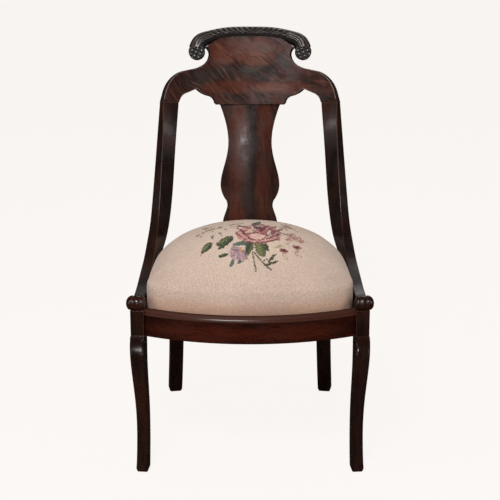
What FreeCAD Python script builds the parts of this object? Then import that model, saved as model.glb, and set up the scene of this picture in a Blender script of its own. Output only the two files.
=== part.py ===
import FreeCAD, Part
import math
import os
import Sketcher

V = FreeCAD.Vector
doc = FreeCAD.newDocument("side_chair")

# Driving sizes, in millimetres and degrees
SIZES = [
    ("rail_bottom", 296.0, "underside of the seat rails above the floor"),
    ("rail_height", 54.0, "height of the seat rails"),
    ("rebate_depth", 16.0, "depth of the seat rebate below the rail top"),
    ("ledge_width", 9.0, "width of the ledge that carries the seat"),
    ("front_land", 14.0, "top width of the front rail outside the rebate"),
    ("front_half", 208.0, "half span over which the front bow is measured"),
    ("front_bow", 48.0, "forward bow of the front rail"),
    ("front_set", 5.0, "front rail face behind the block face at the legs"),
    ("lip_height", 10.4, "height of the moulded top edge of the front rail"),
    ("lip_drop", 8.8, "start of the bead's round below the rail top"),
    ("lip_slope", 7.0, "inward run of the slope above the bead"),
    ("lip_stand", 2.5, "moulded edge proud of the rail core"),
    ("lip_round", 1.6, "round of the bead on the moulded edge"),
    ("veneer", 1.2, "thickness of the face veneers"),
    ("side_land", 27.0, "top width of a side rail outside the rebate"),
    ("side_out", 28.5, "outer face of a side rail beyond the bow's half span, front"),
    ("side_rear", 182.0, "outer face of a side rail from the centre, rear"),
    ("side_run", 352.0, "depth between those two places"),
    ("side_start", 30.0, "depth of the front one behind the block face"),
    ("side_bow", 11.0, "outward bow of a side rail"),
    ("rear_land", 16.0, "top width of the rear rail outside the rebate"),
    ("rear_face", 380.0, "front of the rear rail's land"),
    ("block_out", 14.4, "front leg block centre beyond the bow's half span"),
    ("block_width", 27.0, "front leg block width"),
    ("block_depth", 34.0, "front leg block depth"),
    ("front_turn", 6.0, "front legs turned outward, degrees"),
    ("front_toe", 27.0, "width of the front foot"),
    ("rear_x", 166.5, "rear leg block centre from the centre line"),
    ("rear_y", 393.0, "rear leg block centre behind the front"),
    ("rear_width", 30.0, "rear leg width"),
    ("rear_depth", 34.0, "rear leg block depth"),
    ("rear_turn", 10.0, "rear legs turned outward, degrees"),
    ("rear_sweep", 54.0, "backward sweep of the rear foot"),
    ("scroll_radius", 15.6, "radius of the rolls at the stile ends"),
    ("scroll_half", 19.0, "half length of those rolls"),
    ("scroll_out", 4.6, "rolls set outward on their blocks"),
    ("crest_radius", 470.0, "hollow of the crest in plan"),
    ("crest_thick", 22.0, "thickness of crest and stiles"),
    ("crest_y", 416.0, "crest face behind the block face, at the centre"),
    ("crest_z", 689.0, "height of the joint of stiles and crest"),
    ("crest_rake", 13.0, "backward lean of the crest, degrees"),
    ("crest_half", 188.2, "crest face half width at the shoulder joint"),
    ("shoulder_width", 34.4, "face width of the shoulder at that joint"),
    ("shoulder_rise", 67.1, "rise of the shoulder above the joint"),
    ("panel_half", 86.5, "half width of the crest panel"),
    ("panel_top", 134.0, "height of the panel's corners above the joint"),
    ("cusp_x", 115.5, "cusp of the lower edge from the centre line"),
    ("cusp_rise", 29.6, "cusp above the joint"),
    ("arm_out", 30.0, "outer edge of the stiles beyond the bow's half span, at the front plane"),
    ("arm_splay", 0.07, "inward run of the stiles per unit of depth"),
    ("roll_radius", 13.6, "half height of the crest roll at its middle"),
    ("roll_depth", 18.0, "half depth of the crest roll"),
    ("roll_rise", 153.2, "middle of the crest roll above the joint"),
    ("volute_x", 116.2, "volute centres from the centre line"),
    ("volute_rise", 110.6, "volute centres above the joint"),
    ("volute_radius", 17.8, "radius of the volutes"),
    ("splat_thick", 12.0, "thickness of the splat with its veneer"),
    ("splat_set", 4.0, "splat face behind the crest face"),
    ("splat_top", 65.9, "half width of the splat under the crest"),
    ("splat_waist", 47.8, "half width of the splat at its waist"),
    ("splat_belly", 65.1, "half width of the splat at its widest"),
    ("splat_neck", 50.8, "half width of the splat below the belly"),
    ("splat_foot", 66.0, "half width of the splat at the rear rail"),
    ("tenon_length", 18.0, "length of the splat's tenons"),
    ("tenon_thick", 6.0, "thickness of the splat's tenons"),
    ("dowel_radius", 4.5, "radius of the dowels"),
    ("dowel_gap", 0.15, "clearance round dowels and screws"),
    ("dowel_reach", 20.0, "depth of a dowel in each piece"),
    ("corner_leg", 52.0, "length of a corner block along each rail"),
    ("corner_height", 30.0, "height of the corner blocks"),
    ("seat_gap", 0.4, "clearance under the drop-in seat"),
    ("cover_gap", 1.0, "clearance round the drop-in seat"),
    ("cover_thick", 1.6, "thickness of the needlepoint cover"),
    ("calico_thick", 0.8, "thickness of the calico"),
    ("frame_width", 46.0, "width of the slip-seat members"),
    ("frame_thick", 19.0, "thickness of the slip-seat members"),
    ("front_corner", 50.0, "corner radius of the seat, front"),
    ("rear_corner", 40.0, "corner radius of the seat, rear"),
    ("web_width", 50.0, "width of the webbing"),
    ("web_thick", 1.4, "thickness of the webbing"),
    ("crown", 125.0, "rise of the seat's crown above the rail top"),
    ("tack_radius", 2.6, "radius of a tack head"),
    ("screw_radius", 2.2, "radius of a screw shank"),
]

sheet = doc.addObject("Spreadsheet::Sheet", "sizes")
for row, (alias, value, note) in enumerate(SIZES, start=1):
    sheet.set("A%d" % row, alias)
    sheet.set("B%d" % row, str(value))
    sheet.set("C%d" % row, note)
    sheet.setAlias("B%d" % row, alias)
doc.recompute()


def size(alias):
    return float(getattr(sheet, alias))


def bind(obj, **rules):
    for prop, rule in rules.items():
        obj.setExpression(prop, rule)
    return obj


# Sub-parts by node name, and the bores that are still to be cut in each
nodes = {}
bores = {}
SIDES = (("left", -1), ("right", 1))

rail_top = size("rail_bottom") + size("rail_height")
ledge_top = rail_top - size("rebate_depth")
block_x = size("front_half") + size("block_out")
side_front = size("front_half") + size("side_out")
arm_front = size("front_half") + size("arm_out")


def spin(angle, centre=V(0, 0, 0)):
    return FreeCAD.Placement(centre, FreeCAD.Rotation(V(0, 0, 1), angle))


def box(name, length, width, height, place):
    solid = doc.addObject("Part::Box", name)
    solid.Length, solid.Width, solid.Height = length, width, height
    solid.Placement = place
    return solid


def cut(name, base, tool):
    result = doc.addObject("Part::Cut", name)
    result.Base = base
    result.Tool = tool
    return result


def common(name, *solids):
    result = doc.addObject("Part::MultiCommon", name)
    result.Shapes = list(solids)
    return result


def fuse(name, *solids):
    result = doc.addObject("Part::MultiFuse", name)
    result.Shapes = list(solids)
    result.Refine = True
    return result


def group(name, solids):
    result = doc.addObject("Part::Compound", name)
    result.Links = list(solids)
    return result


def feature(name, shape, place=None):
    result = doc.addObject("Part::Feature", name)
    result.Shape = shape
    if place is not None:
        result.Placement = place
    return result


def origin_plane(body, role):
    return [plane for plane in body.Origin.OriginFeatures if plane.Role == role][0]


def rounded_wire(corner, across, along, wide, deep, radii):
    """Rounded rectangle from a corner: wide runs along across, deep along along."""
    ends = []
    for k, (i, j) in enumerate(((0, 0), (1, 0), (1, 1), (0, 1))):
        point = corner + across * (wide * i) + along * (deep * j)
        inward = (across * (1 - 2 * i), along * (1 - 2 * j))
        first, second = (inward[1], inward[0]) if k % 2 == 0 else (inward[0], inward[1])
        radius = radii[k]
        start = point + first * radius
        end = point + second * radius
        middle = point + (first + second) * (radius * (1 - math.sqrt(0.5)))
        ends.append((start, middle, end))
    edges = []
    for k, (start, middle, end) in enumerate(ends):
        edges.append(Part.Arc(start, middle, end).toShape())
        edges.append(Part.LineSegment(end, ends[(k + 1) % 4][0]).toShape())
    return Part.Wire(edges)


# Legs. Each is modelled upright over its own block centre, then turned outward.
front_place = {}
rear_place = {}
for side, s in SIDES:
    front_place[side] = spin(s * size("front_turn"), V(s * block_x, size("block_depth") / 2, 0))
    rear_place[side] = spin(-s * size("rear_turn"), V(s * size("rear_x"), size("rear_y"), 0))

# Front leg stations down from the block: share of height, front face, depth, width, drift inward
KNEE = [
    (1.00, -7.0, 41.0, 28.0, 0.0),
    (0.93, -12.0, 45.0, 29.0, 0.0),
    (0.81, -9.0, 41.0, 28.5, 0.3),
    (0.65, 1.5, 33.5, 27.2, 1.5),
    (0.48, 10.0, 28.0, 25.8, 3.2),
    (0.31, 13.0, 25.5, 25.0, 3.8),
    (0.15, 9.0, 25.5, 25.2, 3.6),
    (0.02, 1.5, 27.5, 26.0, 3.0),
]
TOE_EASE = 2.5


def leg_section(x_mid, y_front, z, wide, deep, radius):
    corner = V(x_mid - wide / 2, y_front, z)
    return rounded_wire(corner, V(1, 0, 0), V(0, 1, 0), wide, deep, [radius] * 4)


def front_leg(side, s):
    half = size("block_depth") / 2
    stations = [leg_section(-s * drift, front - half, size("rail_bottom") * share, wide, deep, 5.0)
                for share, front, deep, wide, drift in KNEE]
    shaft = Part.makeLoft(stations, True, False)
    share, front, deep, wide, drift = KNEE[-1]
    sole = leg_section(-s * drift, front - half + TOE_EASE - 1.0, 0, wide - 2 * TOE_EASE,
                       deep - 2 * TOE_EASE, 3.0)
    toe = Part.makeLoft([stations[-1], sole], True, True)
    shaft = feature(side + "_front_shaft", shaft.fuse(toe))
    block = box(side + "_front_block", 1, 1, 1, FreeCAD.Placement())
    bind(block, Length="sizes.block_width", Width="sizes.block_depth", Height="sizes.rail_height")
    block.Placement.Base = V(-size("block_width") / 2, -half, size("rail_bottom"))
    leg = fuse(side + "_front_leg_form", shaft, block)
    leg.Placement = front_place[side]
    return leg


# Rear leg stations: share of height, sweep share, depth, width change
SABRE = [
    (1.00, 0.00, 34.0, 0.0),
    (0.80, 0.05, 33.0, 0.0),
    (0.60, 0.17, 31.0, 0.5),
    (0.40, 0.37, 29.0, 0.5),
    (0.20, 0.66, 28.0, 0.5),
    (0.02, 0.97, 28.5, 0.0),
]


def rear_leg(side, s):
    wide = size("rear_width")
    stations = []
    for share, sweep, deep, change in SABRE:
        front = size("rear_sweep") * sweep - deep / 2
        stations.append(leg_section(0, front, size("rail_bottom") * share, wide + change, deep, 4.5))
    shaft = Part.makeLoft(stations, True, False)
    deep = SABRE[-1][2]
    front = size("rear_sweep") - deep / 2
    sole = leg_section(0, front + TOE_EASE, 0, wide - 2 * TOE_EASE, deep - 2 * TOE_EASE, 3.0)
    toe = Part.makeLoft([stations[-1], sole], True, True)
    shaft = feature(side + "_rear_shaft", shaft.fuse(toe))
    block = box(side + "_rear_block", 1, 1, 1, FreeCAD.Placement())
    bind(block, Length="sizes.rear_width", Width="sizes.rear_depth", Height="sizes.rail_height")
    block.Placement.Base = V(-wide / 2, -size("rear_depth") / 2, size("rail_bottom"))
    leg = fuse(side + "_rear_leg_form", shaft, block)
    leg.Placement = rear_place[side]
    return leg


for side, s in SIDES:
    nodes[side + "_front_leg"] = front_leg(side, s)
    nodes[side + "_rear_leg"] = rear_leg(side, s)

# Trimming blocks: the space on the far side of each leg face that a rail butts against
FAR = 90.0


def trim_box(name, place, x_from, x_to, y_from, y_to):
    corner = place.multVec(V(x_from, y_from, size("rail_bottom") - FAR))
    turned = FreeCAD.Placement(corner, place.Rotation)
    return box(name, x_to - x_from, y_to - y_from, size("rail_height") + 2 * FAR, turned)


def inner_trim(side, s, place, wide, tag):
    reach = sorted((-s * wide / 2, s * FAR))
    return trim_box(side + tag, place, reach[0], reach[1], -FAR, FAR)


# Front rail: radius and centre of the bow follow from half span and bow
bow_rule = "(sizes.front_half^2 + sizes.front_bow^2) / (2 * sizes.front_bow)"
bow_radius = (size("front_half") ** 2 + size("front_bow") ** 2) / (2 * size("front_bow"))
bow_centre = size("front_set") - size("front_bow") + bow_radius


def bound_sketch(body, name, edges, rules):
    """Closed sketch on the body's YZ plane; rules give its points as expressions from the origin."""
    sketch = body.newObject("Sketcher::SketchObject", name)
    sketch.AttachmentSupport = (origin_plane(body, "YZ_Plane"), [""])
    sketch.MapMode = "FlatFace"
    for edge in edges:
        sketch.addGeometry(edge, False)
    for k in range(len(edges)):
        sketch.addConstraint(Sketcher.Constraint("Coincident", k, 2, (k + 1) % len(edges), 1))
    for kind, index, end, value, rule in rules:
        number = sketch.addConstraint(Sketcher.Constraint(kind, -1, 1, index, end, value))
        sketch.setExpression("Constraints[%d]" % number, rule)
    return sketch


def bowed_rail(name, corners, spread, place, round_after=None):
    """Part of a ring about the bow's centre; corners are (radius, height) values with their rules."""
    body = doc.addObject("PartDesign::Body", name)
    count = len(corners)
    points = [V(radius, height) for radius, radius_rule, height, height_rule in corners]
    edges = [Part.LineSegment(points[k], points[(k + 1) % count]) for k in range(count)]
    rules = []
    for k, (radius, radius_rule, height, height_rule) in enumerate(corners):
        rules.append(("DistanceX", k, 1, radius, radius_rule))
        rules.append(("DistanceY", k, 1, height, height_rule))
    if round_after is not None:
        start, end = points[round_after], points[round_after + 1]
        ease = size("lip_round")
        centre = V(end.x, start.y)
        nose = Part.Circle(centre, V(0, 0, 1), ease)
        edges[round_after] = Part.ArcOfCircle(nose, 0, math.pi / 2)
    section = bound_sketch(body, name + "_section", edges, rules)
    if round_after is not None:
        number = section.addConstraint(Sketcher.Constraint("Radius", round_after, size("lip_round")))
        section.setExpression("Constraints[%d]" % number, "sizes.lip_round")
    doc.recompute()
    ring = body.newObject("PartDesign::Revolution", name + "_ring")
    ring.Profile = section
    ring.ReferenceAxis = (section, ["V_Axis"])
    ring.Midplane = True
    ring.Angle = spread
    body.Tip = ring
    body.Placement = place
    return body


low = "sizes.rail_bottom"
top = "sizes.rail_bottom + sizes.rail_height"
ledge = top + " - sizes.rebate_depth"
under_lip = top + " - sizes.lip_height"
land = bow_rule + " - sizes.front_land"
shelf = land + " - sizes.ledge_width"
proud = bow_rule + " + sizes.lip_stand"
lip_low = rail_top - size("lip_height")
bead_top = rail_top - size("lip_drop") + size("lip_round")
bead_rule = top + " - sizes.lip_drop + sizes.lip_round"
land_radius = bow_radius - size("front_land")
shelf_radius = land_radius - size("ledge_width")
proud_radius = bow_radius + size("lip_stand")
front_spread = 2 * math.degrees(math.asin((size("front_half") + 8) / bow_radius))
front_bend = spin(180, V(0, bow_centre, 0))
front_body = bowed_rail("front_rail_body", [
    (bow_radius, bow_rule, size("rail_bottom"), low),
    (bow_radius, bow_rule, lip_low, under_lip),
    (proud_radius, proud, lip_low, under_lip),
    (proud_radius, proud, rail_top - size("lip_drop"), top + " - sizes.lip_drop"),
    (proud_radius - size("lip_round"), proud + " - sizes.lip_round", bead_top, bead_rule),
    (proud_radius - size("lip_slope"), proud + " - sizes.lip_slope", rail_top, top),
    (land_radius, land, rail_top, top),
    (land_radius, land, ledge_top, ledge),
    (shelf_radius, shelf, ledge_top, ledge),
    (shelf_radius, shelf, size("rail_bottom"), low),
], front_spread, front_bend, round_after=3)

veneer_rule = bow_rule + " + sizes.veneer"
veneer_radius = bow_radius + size("veneer")
veneer_body = bowed_rail("front_veneer_body", [
    (bow_radius, bow_rule, size("rail_bottom"), low),
    (veneer_radius, veneer_rule, size("rail_bottom"), low),
    (veneer_radius, veneer_rule, lip_low, under_lip),
    (bow_radius, bow_rule, lip_low, under_lip),
], front_spread, front_bend)

front_trims = [inner_trim(side, s, front_place[side], size("block_width"), "_front_inner_trim")
               for side, s in SIDES]
front_ends = group("front_end_trims", front_trims)
nodes["front_rail"] = cut("front_rail_trimmed", front_body, front_ends)
nodes["front_rail_veneer"] = cut("front_veneer_trimmed", veneer_body, front_ends)


# Side rails: a slight outward bow; they butt against the back of the block and the rear leg
side_rule = ("((sizes.front_half + sizes.side_out - sizes.side_rear)^2 + sizes.side_run^2)"
             " / (8 * sizes.side_bow)"
             " + sizes.side_bow / 2")
side_chord = math.hypot(side_front - size("side_rear"), size("side_run"))
side_radius = side_chord ** 2 / (8 * size("side_bow")) + size("side_bow") / 2
side_normal = V(size("side_run"), side_front - size("side_rear"), 0) * (1 / side_chord)
side_middle = V((side_front + size("side_rear")) / 2, size("side_start") + size("side_run") / 2, 0)
side_centre = side_middle - side_normal * (side_radius - size("side_bow"))
side_lean = math.degrees(math.atan2(side_normal.y, side_normal.x))
side_spread = 2 * math.degrees(math.asin((side_chord / 2 + 30) / side_radius))
side_land = side_rule + " - sizes.side_land"
side_shelf = side_land + " - sizes.ledge_width"
side_land_radius = side_radius - size("side_land")
side_shelf_radius = side_land_radius - size("ledge_width")


def side_centre_of(s):
    return V(s * side_centre.x, side_centre.y, 0)


for side, s in SIDES:
    rail = bowed_rail(side + "_side_body", [
        (side_radius, side_rule, size("rail_bottom"), low),
        (side_radius, side_rule, rail_top, top),
        (side_land_radius, side_land, rail_top, top),
        (side_land_radius, side_land, ledge_top, ledge),
        (side_shelf_radius, side_shelf, ledge_top, ledge),
        (side_shelf_radius, side_shelf, size("rail_bottom"), low),
    ], side_spread, spin(-s * (90 - side_lean), side_centre_of(s)))
    trims = [
        trim_box(side + "_front_back_trim", front_place[side], -FAR, FAR, -FAR, size("block_depth") / 2),
        trim_box(side + "_rear_front_trim", rear_place[side], -FAR, FAR, -size("rear_depth") / 2, FAR),
    ]
    nodes[side + "_side_rail"] = cut(side + "_side_rail_trimmed", rail, group(side + "_side_trims", trims))

# Rear rail between the rear legs
rear_back = size("rear_face") + size("rear_land")
back_rule = "sizes.rear_face + sizes.rear_land"
shelf_rule = "sizes.rear_face - sizes.ledge_width"
rear_corners = [
    (rear_back, back_rule, size("rail_bottom"), low),
    (rear_back, back_rule, rail_top, top),
    (size("rear_face"), "sizes.rear_face", rail_top, top),
    (size("rear_face"), "sizes.rear_face", ledge_top, ledge),
    (size("rear_face") - size("ledge_width"), shelf_rule, ledge_top, ledge),
    (size("rear_face") - size("ledge_width"), shelf_rule, size("rail_bottom"), low),
]
rear_body = doc.addObject("PartDesign::Body", "rear_rail_body")
rear_rules = []
for k, (y, y_rule, z, z_rule) in enumerate(rear_corners):
    rear_rules.append(("DistanceX", k, 1, y, y_rule))
    rear_rules.append(("DistanceY", k, 1, z, z_rule))
rear_points = [V(y, z) for y, y_rule, z, z_rule in rear_corners]
rear_edges = [Part.LineSegment(rear_points[k], rear_points[(k + 1) % 6]) for k in range(6)]
rear_section = bound_sketch(rear_body, "rear_rail_section", rear_edges, rear_rules)
rear_pad = rear_body.newObject("PartDesign::Pad", "rear_rail_pad")
rear_pad.Profile = rear_section
rear_pad.Midplane = True
bind(rear_pad, Length="2 * sizes.rear_x")
rear_body.Tip = rear_pad
rear_trims = [inner_trim(side, s, rear_place[side], size("rear_width"), "_rear_inner_trim")
              for side, s in SIDES]
rear_rail = cut("rear_rail_trimmed", rear_body, group("rear_end_trims", rear_trims))
nodes["rear_rail"] = cut("rear_rail_scribed", rear_rail,
                         group("rear_rail_sides", [nodes[side + "_side_rail"] for side, s in SIDES]))

# Crest frame: height along z, depth away from the sitter along y, hollow face of one radius
crest_place = FreeCAD.Placement(V(0, size("crest_y"), size("crest_z")),
                                FreeCAD.Rotation(V(1, 0, 0), -size("crest_rake")))
face_radius = size("crest_radius")
back_radius = face_radius + size("crest_thick")


def crest_point(x, radius, rise):
    """Point on a cylinder of the crest, in the crest's frame; x is measured on its face."""
    beta = math.asin(x / face_radius)
    return V(radius * math.sin(beta), radius * math.cos(beta) - face_radius, rise)


def flat_point(x, rise):
    return V(x / math.sqrt(1 - (x / face_radius) ** 2), 0, rise)


def path_edges(steps, point):
    """Edges through steps: a pair is a corner, a pair of pairs an arc through its middle to its end."""
    edges = []
    here = point(*steps[0])
    for step in steps[1:]:
        if isinstance(step[0], tuple):
            middle, end = point(*step[0]), point(*step[1])
            edges.append(Part.Arc(here, middle, end).toShape())
        else:
            end = point(*step)
            edges.append(Part.LineSegment(here, end).toShape())
        here = end
    return edges


def crest_outline():
    half = size("crest_half")
    inner = half - size("shoulder_width")
    rise = size("shoulder_rise")
    panel = size("panel_half")
    top = size("panel_top")
    cusp = size("cusp_x")
    cusp_rise = size("cusp_rise")
    right = [
        (0, top + 19),
        ((panel * 0.58, top + 12.0), (panel + 8.5, rise + 52.9)),
        ((panel + 2.4, rise + 45.6), (panel + 1.0, rise + 36.9)),
        ((panel + 5.5, rise + 23.9), (panel + 18.0, rise + 13.0)),
        ((panel + 26.5, rise + 9.0), (panel + 37.0, rise + 6.0)),
        (half - 43.2, rise + 1.0),
        ((half - 18.3, rise - 18.0), (half - 4.2, rise - 50.7)),
        (half, 0),
        (inner, 0),
        ((inner - 4.8, 11.5), (inner - 16.5, 20.1)),
        (cusp + 2.5, cusp_rise - 0.8),
        ((cusp, cusp_rise), (cusp - 3.0, cusp_rise - 2.0)),
        ((cusp - 14.1, cusp_rise - 10.0), (cusp - 27.5, cusp_rise - 14.8)),
        ((cusp - 36.0, cusp_rise - 20.6), (cusp - 39.5, 0)),
        (cusp - 43.5, -3.7),
        (0, -3.7),
    ]
    right_edges = path_edges(right, flat_point)
    mirror = FreeCAD.Matrix()
    mirror.A11 = -1
    left_edges = [edge.transformGeometry(mirror) for edge in right_edges]
    return Part.Wire(Part.__sortEdges__(right_edges + left_edges))


def fan(outline, near, far):
    """Solid whose edge walls all aim at the crest's axis."""
    ends = []
    for depth in (near, far):
        scale = FreeCAD.Matrix()
        scale.A11 = (face_radius + depth) / face_radius
        wire = outline.transformGeometry(scale)
        wire.translate(V(0, depth, 0))
        ends.append(wire)
    return Part.makeLoft(ends, True, True)


def crest_shell(name, inner_rule, outer_rule):
    """Slice of a tube about the crest's axis, tall enough for the whole crest."""
    tubes = []
    for tag, rule in (("_outer", outer_rule), ("_inner", inner_rule)):
        tube = doc.addObject("Part::Cylinder", name + tag)
        tube.Height = 2 * size("roll_rise")
        bind(tube, Radius=rule)
        tube.Angle = 70
        tube.Placement = FreeCAD.Placement(V(0, -face_radius, -size("roll_rise") / 2),
                                           FreeCAD.Rotation(V(0, 0, 1), 55))
        tubes.append(tube)
    return cut(name, tubes[0], tubes[1])


crest_form = fan(crest_outline(), -60, 40)
crest_core = common("crest_core", feature("crest_fan", crest_form),
                    crest_shell("crest_board", "sizes.crest_radius + sizes.veneer",
                                "sizes.crest_radius + sizes.crest_thick"))
crest_core.Placement = crest_place
nodes["crest_rail"] = crest_core
crest_face = common("crest_face", feature("crest_fan_face", crest_form),
                    crest_shell("crest_sheet", "sizes.crest_radius",
                                "sizes.crest_radius + sizes.veneer"))
crest_face.Placement = crest_place
nodes["crest_veneer"] = crest_face

# Carved roll on the crest: a bar along an arch whose ends turn down into volutes.
# Stations of the right half: distance out, rise, half height, direction of the bar in degrees
ROLL = [
    (0.0, 0.0, 1.00, 0.0),
    (54.0, -2.6, 1.01, -5.0),
    (90.0, -11.6, 1.09, -20.0),
    (105.5, -20.0, 1.20, -42.0),
    (113.0, -34.0, 1.23, -80.0),
]
roll_mid = face_radius + size("crest_thick") / 2


def roll_section(x, rise, half, heading):
    beta = math.asin(x / roll_mid)
    centre = V(roll_mid * math.sin(beta), roll_mid * math.cos(beta) - face_radius, rise)
    outward = V(math.sin(beta), math.cos(beta), 0)
    along = V(math.cos(beta), -math.sin(beta), 0)
    angle = math.radians(heading)
    up = along * (-math.sin(angle)) + V(0, 0, 1) * math.cos(angle)
    deep = size("roll_depth")
    ring = []
    for k in range(8):
        turn = math.pi * k / 4
        ring.append(centre + up * (half * math.cos(turn)) + outward * (deep * math.sin(turn)))
    spline = Part.BSplineCurve()
    spline.interpolate(Points=ring, PeriodicFlag=True)
    return Part.Wire([spline.toShape()])


def crest_roll():
    sections = []
    for sign, rows in ((-1, ROLL[:0:-1]), (1, ROLL)):
        for x, drop, grow, heading in rows:
            sections.append(roll_section(sign * x, size("roll_rise") + drop,
                                         size("roll_radius") * grow, sign * heading))
    bar = Part.makeLoft(sections, True, False)
    for sign in (-1, 1):
        beta = math.asin(size("volute_x") / roll_mid)
        deep = size("roll_depth") - 4.0
        radius = size("volute_radius")
        ease = 5.0
        profile = path_edges([(0, -deep), (radius - ease, -deep),
                              ((radius - ease * 0.293, -deep + ease * 0.293), (radius, -deep + ease)),
                              (radius, deep - ease),
                              ((radius - ease * 0.293, deep - ease * 0.293), (radius - ease, deep)),
                              (0, deep), (0, -deep)], lambda x, y: V(x, y, 0))
        button = Part.Face(Part.Wire(profile)).revolve(V(0, 0, 0), V(0, 1, 0), 360)
        button.translate(V(sign * size("volute_x"), roll_mid * math.cos(beta) - face_radius,
                           size("volute_rise")))
        bar = bar.fuse(button)
    return bar


roll = feature("crest_roll_form", crest_roll())
nodes["crest_roll"] = cut("crest_roll_fitted", roll, feature("crest_fan_roll", crest_form.common(
    Part.makeCylinder(back_radius, 2 * size("roll_rise"), V(0, -face_radius, -size("roll_rise") / 2),
                      V(0, 0, 1)).cut(
        Part.makeCylinder(face_radius, 2 * size("roll_rise"), V(0, -face_radius, -size("roll_rise") / 2),
                          V(0, 0, 1))))))
nodes["crest_roll"].Placement = crest_place

# Stiles. The leading line is the outer back edge; the section is turned about it along the way.
# Stations: share of the run back, share of the rise, turn in degrees, width
STILE = [
    (0.036, 0.047, 90.0, 24.0),
    (0.209, 0.050, 90.0, 26.0),
    (0.368, 0.095, 89.0, 29.5),
    (0.529, 0.149, 82.0, 33.5),
    (0.634, 0.209, 72.0, 37.5),
    (0.734, 0.284, 60.5, 40.5),
    (0.816, 0.415, 54.0, 41.9),
    (0.892, 0.602, 47.0, 39.1),
    (0.950, 0.795, 39.0, 36.6),
]
TURN_IN = 8
STILE_STEPS = 22


def stile_form(side, s):
    half = size("crest_half")
    inner = half - size("shoulder_width")
    end = crest_place.multVec(crest_point(s * half, back_radius, 0))
    up = crest_place.Rotation.multVec(V(0, 0, 1))
    drawn = arm_front - size("arm_splay") * end.y - abs(end.x)
    outer_angle = math.asin(half / face_radius)
    inner_angle = math.asin(inner / face_radius)
    points = []
    rows = []
    for run, rise, turn, width in STILE:
        y = run * end.y
        x = arm_front - size("arm_splay") * y - drawn * run ** TURN_IN
        points.append(V(s * x, y, rail_top + rise * (end.z - rail_top)))
        rows.append(V(turn, width, 0))
    points.append(end)
    joint_turn = math.degrees((outer_angle + inner_angle) / 2)
    rows.append(V(joint_turn, face_radius * (outer_angle - inner_angle), 0))
    marks = [0.0]
    for k in range(1, len(points)):
        marks.append(marks[-1] + points[k].distanceToPoint(points[k - 1]))
    spine = Part.BSplineCurve()
    spine.interpolate(Points=points, Parameters=marks)
    frame = Part.BSplineCurve()
    frame.interpolate(Points=rows, Parameters=marks)
    sections = []
    thick = size("crest_thick")
    for k in range(STILE_STEPS + 1):
        mark = marks[-1] * k / STILE_STEPS
        tangent = spine.tangent(mark)[0] if k < STILE_STEPS else up
        inward = V(-s, 0, 0)
        inward = (inward - tangent * inward.dot(tangent)).normalize()
        facing = tangent.cross(inward)
        if facing.z - facing.y < 0:
            facing = facing * -1
        angle = math.radians(frame.value(mark).x)
        normal = inward * math.sin(angle) + facing * math.cos(angle)
        outward = facing * math.sin(angle) - inward * math.cos(angle)
        sections.append(rounded_wire(spine.value(mark), normal, outward * -1, thick, frame.value(mark).y,
                                     [2.0, 1.2, 2.0, 2.0]))
    return Part.makeLoft(sections, True, False)


for side, s in SIDES:
    form = feature(side + "_stile_form", stile_form(side, s))
    below = box(side + "_stile_seat", 2 * arm_front, 2 * size("crest_y"), FAR,
                FreeCAD.Placement(V(-arm_front, -FAR, rail_top - FAR), FreeCAD.Rotation()))
    bind(below, Height="sizes.rail_height")
    below.Placement.Base.z = size("rail_bottom")
    ahead = trim_box(side + "_stile_front_trim", front_place[side], -FAR, FAR, -FAR,
                     size("scroll_radius") - size("block_depth") / 2 + 11.5)
    nodes[side + "_stile"] = cut(side + "_stile_trimmed", form, group(side + "_stile_trims", [below, ahead]))

# Rolls on the leg blocks: turned, with domed ends, flat under and behind where they are glued.
# Profile from the outer end to the inner one, as shares of the radius and of the half length:
# a ball, a round body and a bead, with a groove between each two
SCROLL_FLAT = 5.0
SCROLL_PROFILE = [
    (0, 1), ((0.69, 0.84), (1.0, 0.42)), ((0.985, 0.32), (0.90, 0.23)), ((1.0, -0.13), (0.90, -0.49)),
    ((0.97, -0.70), (0.80, -0.89)), ((0.5, -0.97), (0, -1)), (0, 1),
]


def scroll(side, s):
    r = size("scroll_radius")
    e = size("scroll_half")
    turning = path_edges(SCROLL_PROFILE, lambda across, out: V(s * e * out, 0, r * across))
    face = Part.Face(Part.Wire(turning))
    turned = face.revolve(V(0, 0, 0), V(1, 0, 0), 360)
    centre = V(s * size("scroll_out"), r - size("block_depth") / 2, rail_top + r - SCROLL_FLAT)
    form = feature(side + "_scroll_form", turned,
                   front_place[side].multiply(FreeCAD.Placement(centre, FreeCAD.Rotation())))
    under = box(side + "_scroll_seat", 2 * FAR, 2 * FAR, FAR,
                front_place[side].multiply(FreeCAD.Placement(V(-FAR, -FAR, rail_top - FAR),
                                                             FreeCAD.Rotation())))
    behind = trim_box(side + "_scroll_back", front_place[side], -FAR, FAR,
                      r - size("block_depth") / 2 + 11.5, 2 * FAR)
    return cut(side + "_scroll_cut", form, group(side + "_scroll_trims", [under, behind]))


for side, s in SIDES:
    nodes[side + "_scroll"] = scroll(side, s)

# Splat: sawn outline, bent so that it stands plumb in the rear rail and leans with the crest above
splat_rise = size("crest_z") - rail_top
rake = math.radians(size("crest_rake"))
bend_radius = splat_rise / math.sin(rake)
splat_face_y = size("crest_y") + size("splat_set") * math.cos(rake)
bend_centre = V(0, splat_face_y + bend_radius * math.cos(rake), rail_top)


def bent_slab(name, outer, inner, wide):
    """Bent board about a level axis behind the chair, between two radii."""
    rods = []
    for tag, radius in (("_outer", outer), ("_inner", inner)):
        rod = Part.makeCylinder(radius, 2 * wide, bend_centre - V(wide, 0, 0), V(1, 0, 0))
        rods.append(rod)
    window = Part.makeBox(2 * wide, 4 * FAR, splat_rise + 2 * FAR,
                          V(-wide, splat_face_y - 2 * FAR, rail_top - FAR))
    return rods[0].common(window).cut(rods[1])


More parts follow.
